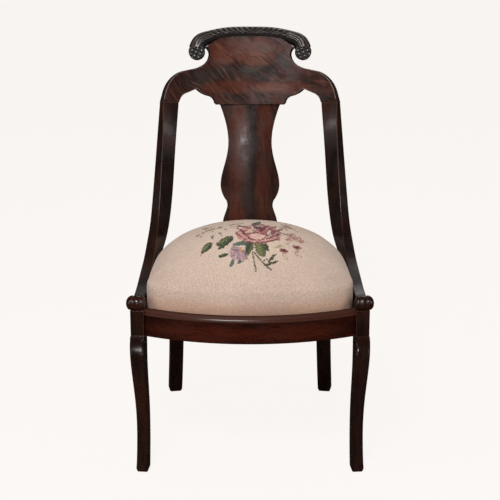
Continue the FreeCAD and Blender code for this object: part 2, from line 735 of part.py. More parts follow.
def splat_outline(shrink, foot, head):
    """Vase outline in the plane x, z: half widths at shares of the rise between rail and crest."""
    def at(share, half):
        return V(half - shrink, 0, rail_top + share * splat_rise)
    belly = [at(0.985, size("splat_top")), at(0.887, size("splat_waist") + 6.8),
             at(0.738, size("splat_waist")), at(0.629, size("splat_waist") + 5.6),
             at(0.526, size("splat_belly") - 2.3), at(0.472, size("splat_belly")),
             at(0.420, size("splat_belly") - 3.2), at(0.3735, size("splat_neck") + 2.7)]
    neck = [at(0.3715, size("splat_neck") + 2.0), at(0.318, size("splat_neck")),
            at(0.262, size("splat_neck") + 6.2), at(0.170, size("splat_foot") - 3.0),
            at(0.071, size("splat_foot"))]
    edges = []
    for run in (belly, neck):
        curve = Part.BSplineCurve()
        curve.interpolate(run)
        edges.append(curve.toShape())
    top = [V(size("splat_top") - shrink, 0, head), belly[0]]
    bottom = [neck[-1], V(size("splat_foot") - shrink, 0, foot)]
    edges.append(Part.LineSegment(top[0], top[1]).toShape())
    edges.append(Part.LineSegment(belly[-1], neck[0]).toShape())
    edges.append(Part.LineSegment(bottom[0], bottom[1]).toShape())
    edges.append(Part.LineSegment(V(0, 0, head), top[0]).toShape())
    edges.append(Part.LineSegment(bottom[1], V(0, 0, foot)).toShape())
    mirror = FreeCAD.Matrix()
    mirror.A11 = -1
    left = [edge.transformGeometry(mirror) for edge in edges]
    return Part.Wire(Part.__sortEdges__(edges + left))


def splat_board(name, outer, inner):
    outline = splat_outline(0, rail_top, size("crest_z") + 40)
    wide = size("splat_foot") + 40
    sawn = Part.Face(outline).extrude(V(0, 4 * FAR, 0))
    sawn.translate(V(0, splat_face_y - 2 * FAR, 0))
    return sawn.common(bent_slab(name, outer, inner, wide))


# The crest's lower edge cuts the splat to length; the tenon runs on into the mortise
crest_solid = crest_form.common(Part.makeCylinder(
    back_radius, 2 * size("roll_rise"), V(0, -face_radius, -size("roll_rise") / 2), V(0, 0, 1)))
lower_edge = -3.7
above = Part.makeBox(4 * FAR, 4 * FAR, 2 * FAR, V(-2 * FAR, -2 * FAR, lower_edge))
above.Placement = crest_place
core = splat_board("splat_core", bend_radius - size("veneer"), bend_radius - size("splat_thick"))
sheet_face = splat_board("splat_face", bend_radius, bend_radius - size("veneer"))
tenon_mid = bend_radius - size("splat_thick") / 2
tenon_slab = bent_slab("tenon", tenon_mid + size("tenon_thick") / 2, tenon_mid - size("tenon_thick") / 2,
                       size("splat_waist"))
tenon_box = Part.makeBox(2 * size("splat_waist") - 10, 4 * FAR, size("tenon_length") + 6,
                         V(5 - size("splat_waist"), -2 * FAR, lower_edge - 6))
tenon_box.Placement = crest_place
foot_box = Part.makeBox(2 * size("splat_neck"), 4 * FAR, size("tenon_length") + 6,
                        V(-size("splat_neck"), splat_face_y - 2 * FAR, rail_top - size("tenon_length")))
tenons = [tenon_slab.common(tenon_box), tenon_slab.common(foot_box)]
body = core.cut(above)
for tenon in tenons:
    body = body.fuse(tenon)
nodes["splat"] = feature("splat_solid", body.removeSplitter())
nodes["splat_veneer"] = feature("splat_veneer_solid", sheet_face.cut(above))


def mortise(name, half, low, high, in_crest):
    gap = size("dowel_gap")
    slab = bent_slab(name, tenon_mid + size("tenon_thick") / 2 + gap,
                     tenon_mid - size("tenon_thick") / 2 - gap, half + 20)
    hole = Part.makeBox(2 * (half + gap), 4 * FAR, high - low, V(-half - gap, -2 * FAR, low))
    if in_crest:
        hole.Placement = crest_place
    else:
        hole.translate(V(0, splat_face_y, 0))
    return feature(name, slab.common(hole))


bores["crest_rail"] = [mortise("crest_mortise", size("splat_waist") - 5, lower_edge - 1,
                               lower_edge + size("tenon_length") + 1, True)]
bores["rear_rail"] = [mortise("rail_mortise", size("splat_neck"), rail_top - size("tenon_length") - 1,
                              rail_top + 1, False)]


# Dowels and their bores
def dowel(name, start, direction, length, radius, hosts):
    """A dowel centred on start along direction, with a bore in each host."""
    axis = V(direction).normalize()
    turn = FreeCAD.Rotation(V(0, 0, 1), axis)
    peg = doc.addObject("Part::Cylinder", name)
    bind(peg, Radius=radius)
    peg.Height = 2 * length
    peg.Placement = FreeCAD.Placement(start - axis * length, turn)
    hole = doc.addObject("Part::Cylinder", name + "_bore")
    bind(hole, Radius=radius + " + sizes.dowel_gap")
    hole.Height = 2 * length + 2
    hole.Placement = FreeCAD.Placement(start - axis * (length + 1), turn)
    for host in hosts:
        bores.setdefault(host, []).append(hole)
    return peg


reach = size("dowel_reach")
mid_height = size("rail_bottom") + (size("rail_height") - size("rebate_depth")) / 2
DOWEL_SPREAD = 10.0
front_pegs = []
side_pegs = []
rear_pegs = []
crest_pegs = []
foot_pegs = []
scroll_pegs = []
for side, s in SIDES:
    place = front_place[side]
    for k, z in enumerate((mid_height - DOWEL_SPREAD, mid_height + DOWEL_SPREAD)):
        inner_face = place.multVec(V(-s * size("block_width") / 2, -3.5, z))
        inward = place.Rotation.multVec(V(-s, 0, 0))
        front_pegs.append(dowel("front_dowel_%s_%d" % (side, k), inner_face, inward, reach - 4,
                                "sizes.dowel_radius", ("front_rail", side + "_front_leg")))
        back_face = place.multVec(V(0, size("block_depth") / 2, z + 6 * (2 * k - 1)))
        side_pegs.append(dowel("side_front_dowel_%s_%d" % (side, k), back_face,
                               place.Rotation.multVec(V(0, 1, 0)), reach - 10,
                               "sizes.dowel_radius - 1", (side + "_side_rail", side + "_front_leg")))
        place_rear = rear_place[side]
        front_face = place_rear.multVec(V(-s * 1.0, -size("rear_depth") / 2, z))
        side_pegs.append(dowel("side_rear_dowel_%s_%d" % (side, k), front_face,
                               place_rear.Rotation.multVec(V(0, -1, 0)), reach - 10,
                               "sizes.dowel_radius - 1", (side + "_side_rail", side + "_rear_leg")))
        leg_face = place_rear.multVec(V(-s * size("rear_width") / 2, -4.0, z + 6 * (2 * k - 1)))
        rear_pegs.append(dowel("rear_dowel_%s_%d" % (side, k), leg_face,
                               place_rear.Rotation.multVec(V(-s, 0, 0)), reach - 8,
                               "sizes.dowel_radius - 1", ("rear_rail", side + "_rear_leg")))
        out = size("crest_half") - size("shoulder_width") * (0.32 + 0.38 * k)
        joint = crest_place.multVec(crest_point(s * out, face_radius + size("crest_thick") / 2, 0))
        crest_pegs.append(dowel("crest_dowel_%s_%d" % (side, k), joint,
                                crest_place.Rotation.multVec(V(0, 0, 1)), reach,
                                "sizes.dowel_radius", ("crest_rail", side + "_stile")))
    for k, share in enumerate((0.12, 0.24)):
        y = size("side_start") + share * size("side_run")
        outer = side_front - (y - size("side_start")) * (
            side_front - size("side_rear")) / size("side_run")
        foot_pegs.append(dowel("foot_dowel_%s_%d" % (side, k), V(s * (outer - 11), y, rail_top),
                               V(0, 0, 1), 9.0, "sizes.dowel_radius - 1",
                               (side + "_side_rail", side + "_stile")))
    seat_point = place.multVec(V(s * size("scroll_out") * 0.4, size("scroll_radius")
                                 - size("block_depth") / 2, rail_top))
    scroll_pegs.append(dowel("scroll_dowel_%s" % side, seat_point, V(0, 0, 1), 11.0,
                             "sizes.dowel_radius", (side + "_scroll", side + "_front_leg")))

roll_pegs = []
for k, x in enumerate((-0.7, 0.0, 0.7)):
    out = x * size("panel_half")
    rise = size("panel_top") + 19 * (1 - x * x)
    joint = crest_place.multVec(crest_point(out, face_radius + size("crest_thick") / 2, rise))
    roll_pegs.append(dowel("roll_dowel_%d" % k, joint, crest_place.Rotation.multVec(V(0, 0, 1)), 8.0,
                           "sizes.dowel_radius - 1", ("crest_rail", "crest_roll")))

# Corner blocks, glued and screwed into the angles of the seat rails.
# Each is a wedge from the leg to a point in each rail; the rails and the leg shape its outer faces.
BLOCK_LIFT = 3.0
SCREW_GRIP = 14.0
SCREW_HEAD = 4.2
screws = []


def side_inner_x(y, radius):
    return side_centre.x + math.sqrt(radius ** 2 - (y - side_centre.y) ** 2)


def screw(name, point, outward, start, end, hosts):
    """Countersunk screw into a rail at point, from the block's face between start and end."""
    along = (end - start).normalize()
    across = V(along.y, -along.x, 0)
    depth = (point - start).dot(across) / outward.dot(across)
    seat = point - outward * (depth - 3.0)
    turn = FreeCAD.Rotation(V(0, 0, 1), outward)
    shank = doc.addObject("Part::Cylinder", name + "_shank")
    bind(shank, Radius="sizes.screw_radius")
    shank.Height = depth - 3.0 + SCREW_GRIP
    shank.Placement = FreeCAD.Placement(seat, turn)
    head = doc.addObject("Part::Cone", name + "_head")
    head.Radius1 = SCREW_HEAD
    bind(head, Radius2="sizes.screw_radius")
    head.Height = 2.6
    head.Placement = shank.Placement
    hole = doc.addObject("Part::Cylinder", name + "_pilot")
    bind(hole, Radius="sizes.screw_radius + sizes.dowel_gap")
    hole.Height = depth - 1.0 + SCREW_GRIP
    hole.Placement = shank.Placement
    sink = doc.addObject("Part::Cylinder", name + "_sink")
    sink.Radius = SCREW_HEAD + 0.4
    sink.Height = 22.0
    sink.Placement = FreeCAD.Placement(seat + outward * (2.6 + size("dowel_gap") - 22.0), turn)
    for host in hosts:
        bores.setdefault(host, []).append(hole)
    bores[hosts[0]].append(sink)
    return fuse(name, shank, head)


def corner_block(name, points, rails):
    base = Part.makePolygon([V(x, y, size("rail_bottom") + BLOCK_LIFT) for x, y in points + points[:1]])
    wedge = feature(name + "_wedge", Part.Face(base).extrude(V(0, 0, size("corner_height"))))
    return cut(name + "_fitted", wedge, group(name + "_walls", [nodes[rail] for rail in rails]))


screw_z = size("rail_bottom") + BLOCK_LIFT + size("corner_height") / 2
for side, s in SIDES:
    leg_x, leg_y = block_x, size("block_depth") / 2
    near_x = leg_x - 1.55 * size("corner_leg")
    near_y = bow_centre - math.sqrt((bow_radius - 11.5) ** 2 - near_x ** 2)
    far_y = leg_y + 1.55 * size("corner_leg")
    far_x = side_inner_x(far_y, side_land_radius + 7.0)
    name = side + "_front_corner_block"
    hosts = ("front_rail", side + "_side_rail", side + "_front_leg")
    nodes[name] = corner_block(name, [(s * leg_x, leg_y), (s * near_x, near_y), (s * far_x, far_y)], hosts)
    start, end = V(s * near_x, near_y, screw_z), V(s * far_x, far_y, screw_z)
    at_x = near_x + 36.0
    at_y = bow_centre - math.sqrt(shelf_radius ** 2 - at_x ** 2)
    outward = (V(s * at_x, at_y, 0) - V(0, bow_centre, 0)).normalize()
    screws.append(screw(name + "_screw_a", V(s * at_x, at_y, screw_z), outward, start, end,
                        (name, "front_rail")))
    at_y = far_y - 30.0
    at_x = side_inner_x(at_y, side_shelf_radius)
    outward = (V(s * at_x, at_y, 0) - side_centre_of(s)).normalize()
    screws.append(screw(name + "_screw_b", V(s * at_x, at_y, screw_z), outward, start, end,
                        (name, side + "_side_rail")))
    leg_x, leg_y = size("rear_x"), size("rear_y")
    near_x = leg_x - 1.45 * size("corner_leg")
    near_y = size("rear_face") + 4.0
    far_y = leg_y - 1.55 * size("corner_leg")
    far_x = side_inner_x(far_y, side_land_radius + 7.0)
    name = side + "_rear_corner_block"
    hosts = ("rear_rail", side + "_side_rail", side + "_rear_leg")
    nodes[name] = corner_block(name, [(s * leg_x, leg_y), (s * near_x, near_y), (s * far_x, far_y)], hosts)
    start, end = V(s * near_x, near_y, screw_z), V(s * far_x, far_y, screw_z)
    at_x = near_x + 42.0
    screws.append(screw(name + "_screw_a", V(s * at_x, size("rear_face") - size("ledge_width"), screw_z),
                        V(0, 1, 0), start, end, (name, "rear_rail")))
    at_y = far_y + 33.0
    at_x = side_inner_x(at_y, side_shelf_radius)
    outward = (V(s * at_x, at_y, 0) - side_centre_of(s)).normalize()
    screws.append(screw(name + "_screw_b", V(s * at_x, at_y, screw_z), outward, start, end,
                        (name, side + "_side_rail")))
nodes["corner_block_screws"] = group("screw_group", screws)

# Drop-in seat. Every layer follows the rebate's outline, less its own gap.
seat_low = ledge_top + size("seat_gap")
frame_low = seat_low + size("cover_thick")
frame_top = frame_low + size("frame_thick")
SOFT_GAP = 0.3
cover_in = size("cover_gap") + size("cover_thick")
calico_out = cover_in + SOFT_GAP
calico_in = calico_out + size("calico_thick")
frame_out = calico_in + SOFT_GAP
SEAT_CENTRE = V(0, 175, 0)


def disc(radius, centre, low_z, height, seam):
    rod = Part.makeCylinder(radius, height, V(centre.x, centre.y, low_z))
    rod.rotate(V(centre.x, centre.y, low_z), V(0, 0, 1), seam)
    return rod


def seat_block(gap, low_z, height):
    """Solid with the outline of the rebate less a gap, and rounded corners."""
    solid = disc(land_radius - gap, V(0, bow_centre, 0), low_z, height, 90)
    for side, s in SIDES:
        solid = solid.common(disc(side_land_radius - gap, side_centre_of(s), low_z, height,
                                  180 if s > 0 else 0))
    reach = 2 * arm_front
    solid = solid.common(Part.makeBox(2 * reach, reach, height,
                                      V(-reach, size("rear_face") - gap - reach, low_z)))
    for radius, behind in ((size("front_corner"), False), (size("rear_corner"), True)):
        corners = []
        for edge in solid.Edges:
            a, b = edge.Vertexes[0].Point, edge.Vertexes[-1].Point
            upright = abs(a.z - b.z) > height / 2 and abs(a.x - b.x) < 0.01
            if upright and (a.y > SEAT_CENTRE.y) == behind and abs(a.x) > 100:
                corners.append(edge)
        solid = solid.makeFillet(radius - gap, corners)
    return solid


def seat_outline(gap):
    block = seat_block(gap, 0, 10)
    floor = [face for face in block.Faces if face.BoundBox.ZMax < 0.01][0]
    return floor.OuterWire


# Crown of the seat: sides upright above the rail, then a dome whose level lines go from the seat's
# outline to an oval as they rise
CROWN_BASE = 49.0
CROWN_DRAW = 2.1
CROWN_SWELL = 1.2
CROWN_STEPS = 10
CROWN_LEAN = 5.5
OVAL_WIDE = 1.03
OVAL_DEEP = 0.89
OVAL_AHEAD = 7.5
OVAL_SOON = 0.54
RUN_POINTS = 9


def crown_station(k):
    """Share of the outline, of the oval, and of the rise above the upright sides."""
    up = math.sin(math.pi / 2 * k / CROWN_STEPS)
    return (1 - up ** CROWN_SWELL) ** (1 / CROWN_DRAW), up ** OVAL_SOON, up


def level_line(runs, reach, share, oval, up, z):
    """Closed line through the outline's runs of points, drawn in and rounded by the given shares."""
    edges = []
    for run in runs:
        points = []
        for point in run:
            out = point - SEAT_CENTRE
            angle = math.atan2(out.y * reach.x / reach.y, out.x)
            rounded = V(OVAL_WIDE * reach.x * math.cos(angle),
                        OVAL_DEEP * reach.y * math.sin(angle) - OVAL_AHEAD, 0)
            at = SEAT_CENTRE + (out * (1 - oval) + rounded * oval) * share
            points.append(V(at.x, at.y + CROWN_LEAN * up, z))
        curve = Part.BSplineCurve()
        curve.interpolate(Points=points, Parameters=[k / (RUN_POINTS - 1) for k in range(RUN_POINTS)])
        edges.append(curve.toShape())
    return Part.Wire(Part.__sortEdges__(edges))


def dome_skin(gap, drop, low_z):
    """Upright walls from low_z, the crown above them and its cap, and the wire they stand on."""
    outline = seat_outline(gap)
    extent = outline.BoundBox
    reach = V(extent.XLength / 2, extent.YLength / 2, 0)
    runs = [edge.discretize(RUN_POINTS) for edge in outline.Edges]
    base = rail_top + CROWN_BASE
    rise = size("crown") - drop - CROWN_BASE
    rim = level_line(runs, reach, 1, 0, 0, low_z)
    walls = rim.extrude(V(0, 0, base - low_z)).Faces
    wires = []
    for k in range(CROWN_STEPS):
        share, oval, up = crown_station(k)
        wires.append(level_line(runs, reach, share, oval, up, base + up * rise))
    crown = Part.makeLoft(wires, False, False).Faces
    return walls + crown + [Part.Face(wires[-1])], rim


def closed_solid(faces):
    shell = Part.Shell(faces)
    shell.sewShape()
    solid = Part.Solid(shell)
    if solid.Volume < 0:
        solid.reverse()
    return solid


def annulus(outer, inner):
    return Part.Face(outer).cut(Part.Face(inner)).Faces


frame_ring = seat_block(frame_out, frame_low, size("frame_thick"))
front_inner = size("frame_width") - 6.0
rear_inner = size("rear_face") - frame_out - size("frame_width")


def opening_x(y):
    return side_inner_x(y, side_land_radius - frame_out) - size("frame_width")


def slab(y_from, y_to):
    return Part.makeBox(4 * arm_front, y_to - y_from, size("frame_thick"),
                        V(-2 * arm_front, y_from, frame_low))


window = Part.Face(Part.makePolygon([
    V(-opening_x(front_inner), front_inner, frame_low), V(opening_x(front_inner), front_inner, frame_low),
    V(opening_x(rear_inner), rear_inner, frame_low), V(-opening_x(rear_inner), rear_inner, frame_low),
    V(-opening_x(front_inner), front_inner, frame_low)])).extrude(V(0, 0, size("frame_thick")))
sides = frame_ring.common(slab(front_inner, rear_inner)).cut(window)
nodes["front_slip_member"] = feature("front_slip", frame_ring.common(slab(-100, front_inner)))
nodes["rear_slip_member"] = feature("rear_slip", frame_ring.common(slab(rear_inner, 500)))
for side, s in SIDES:
    half = [solid for solid in sides.Solids if solid.BoundBox.Center.x * s > 0][0]
    nodes[side + "_slip_member"] = feature(side + "_slip", half)

slip_pegs = []
frame_mid = frame_low + size("frame_thick") / 2
for side, s in SIDES:
    for k in range(2):
        x = opening_x(front_inner) + size("frame_width") * (0.2 + 0.36 * k)
        slip_pegs.append(dowel("slip_front_%s_%d" % (side, k), V(s * x, front_inner, frame_mid), V(0, 1, 0),
                               18.0, "sizes.dowel_radius - 1", ("front_slip_member", side + "_slip_member")))
        x = opening_x(rear_inner) + size("frame_width") * (0.25 + 0.35 * k)
        slip_pegs.append(dowel("slip_rear_%s_%d" % (side, k), V(s * x, rear_inner, frame_mid), V(0, 1, 0),
                               18.0, "sizes.dowel_radius - 1", ("rear_slip_member", side + "_slip_member")))
nodes["slip_frame_dowels"] = group("slip_peg_group", slip_pegs)

# Webbing, tacked to the top of the frame: lengthwise below, crosswise above
WEB_END = 12.0
web_rows = [(k - 1) * 88.0 for k in range(3)]
web_cross = [95.0 + 85.0 * k for k in range(3)]
strips = []
tack_spots = []
for k, x in enumerate(web_rows):
    y_from = bow_centre - math.sqrt((land_radius - frame_out - WEB_END) ** 2
                                    - (abs(x) + size("web_width") / 2) ** 2)
    y_to = size("rear_face") - frame_out - WEB_END
    strip = box("web_length_%d" % k, 1, y_to - y_from, 1, FreeCAD.Placement())
    bind(strip, Length="sizes.web_width", Height="sizes.web_thick")
    strip.Placement.Base = V(x - size("web_width") / 2, y_from, frame_top)
    strips.append(strip)
    for y in (y_from + 8.0, y_to - 8.0):
        for step in (-1, 1):
            tack_spots.append((V(x + step * 15.0, y, frame_top + size("web_thick")), -1))
nodes["lengthwise_webbing"] = group("lengthwise_webs", strips)
strips = []
for k, y in enumerate(web_cross):
    reach_x = side_inner_x(y + size("web_width") / 2, side_land_radius - frame_out - WEB_END)
    strip = box("web_cross_%d" % k, 2 * reach_x, 1, 1, FreeCAD.Placement())
    bind(strip, Width="sizes.web_width", Height="sizes.web_thick")
    strip.Placement.Base = V(-reach_x, y - size("web_width") / 2, frame_top + size("web_thick"))
    strips.append(strip)
    web_face = frame_top + 2 * size("web_thick")
    for s in (-1, 1):
        for step in (-1, 1):
            tack_spots.append((V(s * (reach_x - 8.0), y + step * 15.0, web_face), -1))
nodes["crosswise_webbing"] = group("crosswise_webs", strips)

TACK_HEAD = 0.8
hessian_low = frame_top + 2 * size("web_thick") + TACK_HEAD + SOFT_GAP
hessian = seat_block(frame_out + 8.0, hessian_low, size("calico_thick"))
nodes["hessian"] = feature("hessian_sheet", hessian)
stuffing_low = hessian_low + size("calico_thick") + SOFT_GAP
skin, rim = dome_skin(frame_out, frame_out - size("cover_gap"), stuffing_low)
nodes["stuffing"] = feature("stuffing_form", closed_solid(skin + [Part.Face(rim)]))
calico_low = frame_low + 4.0
outer, outer_rim = dome_skin(calico_out, calico_out - size("cover_gap"), calico_low)
inner, inner_rim = dome_skin(calico_in, calico_in - size("cover_gap"), calico_low)
nodes["calico_undercover"] = feature("calico_form",
                                     closed_solid(outer + inner + annulus(outer_rim, inner_rim)))
FLANGE = 20.0
outer, outer_rim = dome_skin(size("cover_gap"), 0.0, seat_low)
inner, inner_rim = dome_skin(cover_in, cover_in - size("cover_gap"), frame_low)
hem = seat_outline(size("cover_gap") + FLANGE)
hem.translate(V(0, 0, seat_low))
hem_top = hem.copy()
hem_top.translate(V(0, 0, size("cover_thick")))
hem_faces = hem.extrude(V(0, 0, size("cover_thick"))).Faces
nodes["needlepoint_cover"] = feature("cover_form", closed_solid(
    outer + inner + hem_faces + annulus(outer_rim, hem) + annulus(inner_rim, hem_top)))
dust = seat_block(size("cover_gap") + FLANGE + SOFT_GAP, frame_low - size("calico_thick"),
                  size("calico_thick"))
nodes["dust_cover"] = feature("dust_sheet", dust)

# Cut tacks: round head, square tapered shank. The cover's tacks sit inside the ledge's opening.
edge_gap = size("cover_gap") + 14.0
for step in (-2, -1, 0, 1, 2):
    x = 62.0 * step
    y = bow_centre - math.sqrt((land_radius - edge_gap) ** 2 - x ** 2)
    tack_spots.append((V(x, y, seat_low), 1))
    tack_spots.append((V(50.0 * step, size("rear_face") - edge_gap, seat_low), 1))
for s in (-1, 1):
    for y in (70.0, 130.0, 190.0, 250.0, 310.0):
        tack_spots.append((V(s * side_inner_x(y, side_land_radius - edge_gap), y, seat_low), 1))
tacks = []
for k, (spot, up) in enumerate(tack_spots):
    head = Part.makeCylinder(size("tack_radius"), TACK_HEAD, spot, V(0, 0, -up))
    foot = Part.makePolygon([spot + V(0.7, 0.7, 0), spot + V(-0.7, 0.7, 0), spot + V(-0.7, -0.7, 0),
                             spot + V(0.7, -0.7, 0), spot + V(0.7, 0.7, 0)])
    tip = foot.copy()
    tip.scale(0.3, spot)
    tip.translate(V(0, 0, up * 9.0))
    tacks.append(head.fuse(Part.makeLoft([foot, tip], True, True)))
web_tacks = [tack for tack, (spot, up) in zip(tacks, tack_spots) if up < 0]
cover_tacks = [tack for tack, (spot, up) in zip(tacks, tack_spots) if up > 0]
nodes["webbing_tacks"] = feature("web_tack_group", Part.Compound(web_tacks))
nodes["cover_tacks"] = feature("cover_tack_group", Part.Compound(cover_tacks))

nodes["front_rail_dowels"] = group("front_dowel_group", front_pegs)
nodes["side_rail_dowels"] = group("side_dowel_group", side_pegs)
nodes["rear_rail_dowels"] = group("rear_dowel_group", rear_pegs)
nodes["crest_dowels"] = group("crest_dowel_group", crest_pegs)
nodes["stile_foot_dowels"] = group("foot_dowel_group", foot_pegs)
nodes["scroll_dowels"] = group("scroll_dowel_group", scroll_pegs)
nodes["crest_roll_dowels"] = group("roll_dowel_group", roll_pegs)

doc.recompute()
for name, tools in bores.items():
    nodes[name] = cut(name + "_bored", nodes[name], group(name + "_bores", tools))
doc.recompute()

# Check every object, then write each sub-part
failed = [obj.Name for obj in doc.Objects if "Invalid" in obj.State or "Error" in obj.State]
if failed:
    raise RuntimeError("failed: " + ", ".join(failed))

frame_box = FreeCAD.BoundBox()
for name, obj in nodes.items():
    obj.Label = name
    if obj.Shape.isNull() or not obj.Shape.isValid():
        raise RuntimeError("bad shape: " + name)
    frame_box.add(obj.Shape.optimalBoundingBox(False))
shift = V(-(frame_box.XMin + frame_box.XMax) / 2, -(frame_box.YMin + frame_box.YMax) / 2, -frame_box.ZMin)
print("overall", frame_box.XLength, frame_box.YLength, frame_box.ZLength, "shift", shift)
os.makedirs("parts", exist_ok=True)
for name, obj in nodes.items():
    obj.Placement = FreeCAD.Placement(shift, FreeCAD.Rotation()).multiply(obj.Placement)
    obj.Shape.exportStep("parts/%s.step" % name)
    print(name, len(obj.Shape.Solids), round(obj.Shape.Volume))
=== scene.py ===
import math

import bmesh
import bpy
import numpy as np
from mathutils import Matrix, Vector, noise
from mathutils.bvhtree import BVHTree


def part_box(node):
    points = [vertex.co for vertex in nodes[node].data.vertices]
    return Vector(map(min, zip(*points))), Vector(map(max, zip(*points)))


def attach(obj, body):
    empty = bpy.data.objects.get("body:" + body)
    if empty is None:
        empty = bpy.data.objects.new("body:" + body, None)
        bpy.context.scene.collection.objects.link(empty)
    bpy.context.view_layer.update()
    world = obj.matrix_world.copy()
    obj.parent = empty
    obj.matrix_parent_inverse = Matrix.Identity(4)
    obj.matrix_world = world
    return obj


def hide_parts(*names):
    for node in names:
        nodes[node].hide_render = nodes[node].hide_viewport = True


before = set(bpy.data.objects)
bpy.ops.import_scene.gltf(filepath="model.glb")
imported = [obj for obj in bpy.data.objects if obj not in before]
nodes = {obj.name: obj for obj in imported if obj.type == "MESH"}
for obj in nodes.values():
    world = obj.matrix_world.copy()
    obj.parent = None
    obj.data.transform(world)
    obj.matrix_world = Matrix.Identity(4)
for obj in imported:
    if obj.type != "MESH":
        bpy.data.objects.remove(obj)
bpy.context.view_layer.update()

bl_info = {
    "name": "Hollow-backed side chair",
    "version": (1, 0, 0),
    "blender": (4, 5, 0),
    "location": "View3D > Sidebar > Side chair",
    "description": "Dresses the chair's frame with wood, veneer, carving and a needlepoint seat",
    "category": "Object",
}

# Camera that fits the outline of the photograph. The bouquet is drawn on its picture plane.
LENS = 100.8
SENSOR = 36.0
EYE_BACK = 2.8367
EYE_HEIGHT = 1.260
EYE_DIP = math.radians(16.66)
PICTURE = 500.0


# Small helpers for meshes

def ease(low, high, value):
    """Smooth step from 0 at low to 1 at high."""
    t = np.clip((value - low) / (high - low), 0.0, 1.0)
    return t * t * (3 - 2 * t)


def make_piece(name, points, faces, body, material=None):
    """A smooth mesh piece that rides on a body and takes its finish from a slot."""
    mesh = bpy.data.meshes.new(name)
    mesh.from_pydata([tuple(p) for p in points], [], faces)
    mesh.validate()
    mesh.update()
    mesh.polygons.foreach_set("use_smooth", [True] * len(mesh.polygons))
    piece = bpy.data.objects.new(name, mesh)
    bpy.context.scene.collection.objects.link(piece)
    if material is not None:
        mesh.materials.append(material)
    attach(piece, body)
    return piece


def grid_faces(rows, columns, wrap=False):
    """Faces of a grid of points, row by row; wrap joins the last column to the first."""
    faces = []
    last = columns if wrap else columns - 1
    for r in range(rows - 1):
        for c in range(last):
            n = (c + 1) % columns
            faces.append(((r + 1) * columns + c, (r + 1) * columns + n, r * columns + n, r * columns + c))
    return faces


def turn_outward(mesh):
    """Makes all faces of a closed mesh look outward."""
    work = bmesh.new()
    work.from_mesh(mesh)
    bmesh.ops.recalc_face_normals(work, faces=work.faces)
    work.to_mesh(mesh)
    work.free()


# Small helpers for materials

def link(tree, a, b):
    tree.links.new(a, b)


def node(tree, kind, **settings):
    made = tree.nodes.new(kind)
    for key, value in settings.items():
        setattr(made, key, value)
    return made


def math_node(tree, operation, a, b=None, c=None):
    made = node(tree, "ShaderNodeMath", operation=operation)
    for k, value in enumerate((a, b, c)):
        if value is None:
            continue
        if isinstance(value, (int, float)):
            made.inputs[k].default_value = value
        else:
            link(tree, value, made.inputs[k])
    return made.outputs[0]


def step_node(tree, value, low, high, to_low=0.0, to_high=1.0):
    made = node(tree, "ShaderNodeMapRange", interpolation_type="SMOOTHSTEP")
    link(tree, value, made.inputs["Value"])
    made.inputs["From Min"].default_value = low
    made.inputs["From Max"].default_value = high
    made.inputs["To Min"].default_value = to_low
    made.inputs["To Max"].default_value = to_high
    return made.outputs["Result"]


def noise_node(tree, vector, scale, detail=3.0, rough=0.55, distort=0.0):
    made = node(tree, "ShaderNodeTexNoise")
    made.inputs["Scale"].default_value = scale
    made.inputs["Detail"].default_value = detail
    made.inputs["Roughness"].default_value = rough
    made.inputs["Distortion"].default_value = distort
    link(tree, vector, made.inputs["Vector"])
    return made.outputs["Fac"]


def stretch_node(tree, vector, scale, turn=(0, 0, 0)):
    made = node(tree, "ShaderNodeMapping")
    made.inputs["Scale"].default_value = scale
    made.inputs["Rotation"].default_value = [math.radians(v) for v in turn]
    link(tree, vector, made.inputs["Vector"])
    return made.outputs["Vector"]


def blend_node(tree, share, a, b):
    """Mixes two colours; each is a socket or three numbers."""
    made = node(tree, "ShaderNodeMix", data_type="RGBA")
    if isinstance(share, (int, float)):
        made.inputs["Factor"].default_value = share
    else:
        link(tree, share, made.inputs["Factor"])
    for key, value in ((6, a), (7, b)):
        if hasattr(value, "is_linked"):
            link(tree, value, made.inputs[key])
        else:
            made.inputs[key].default_value = (*value, 1)
    return made.outputs[2]


def new_material(name):
    made = bpy.data.materials.new(name)
    made.use_nodes = True
    tree = made.node_tree
    shader = tree.nodes["Principled BSDF"]
    place = node(tree, "ShaderNodeTexCoord").outputs["Object"]
    return made, tree, shader, place


def bump_node(tree, height, strength, distance, edge=0.0):
    made = node(tree, "ShaderNodeBump")
    made.inputs["Strength"].default_value = strength
    made.inputs["Distance"].default_value = distance
    link(tree, height, made.inputs["Height"])
    if edge:
        soft = node(tree, "ShaderNodeBevel", samples=4)
        soft.inputs["Radius"].default_value = edge
        link(tree, soft.outputs["Normal"], made.inputs["Normal"])
    return made.outputs["Normal"]


def swell_node(tree, normal, sway):
    """Leans a surface's shading by a vector, as a slightly rounded face does."""
    swell = node(tree, "ShaderNodeVectorMath", operation="ADD")
    link(tree, normal, swell.inputs[0])
    link(tree, sway, swell.inputs[1])
    unit = node(tree, "ShaderNodeVectorMath", operation="NORMALIZE")
    link(tree, swell.outputs[0], unit.inputs[0])
    return unit.outputs[0]


def sharp_edge_share(tree, radius):
    """How sharp an edge is, 1 on sharp edges and 0 on flats; the woods lighten it as worn edges, and on the
    stiles and shoulders as a painted highlight.
    """
    soft = node(tree, "ShaderNodeBevel", samples=4)
    soft.inputs["Radius"].default_value = radius
    plain = node(tree, "ShaderNodeNewGeometry").outputs["Normal"]
    dot = node(tree, "ShaderNodeVectorMath", operation="DOT_PRODUCT")
    link(tree, soft.outputs["Normal"], dot.inputs[0])
    link(tree, plain, dot.inputs[1])
    return step_node(tree, dot.outputs["Value"], 0.995, 0.90)


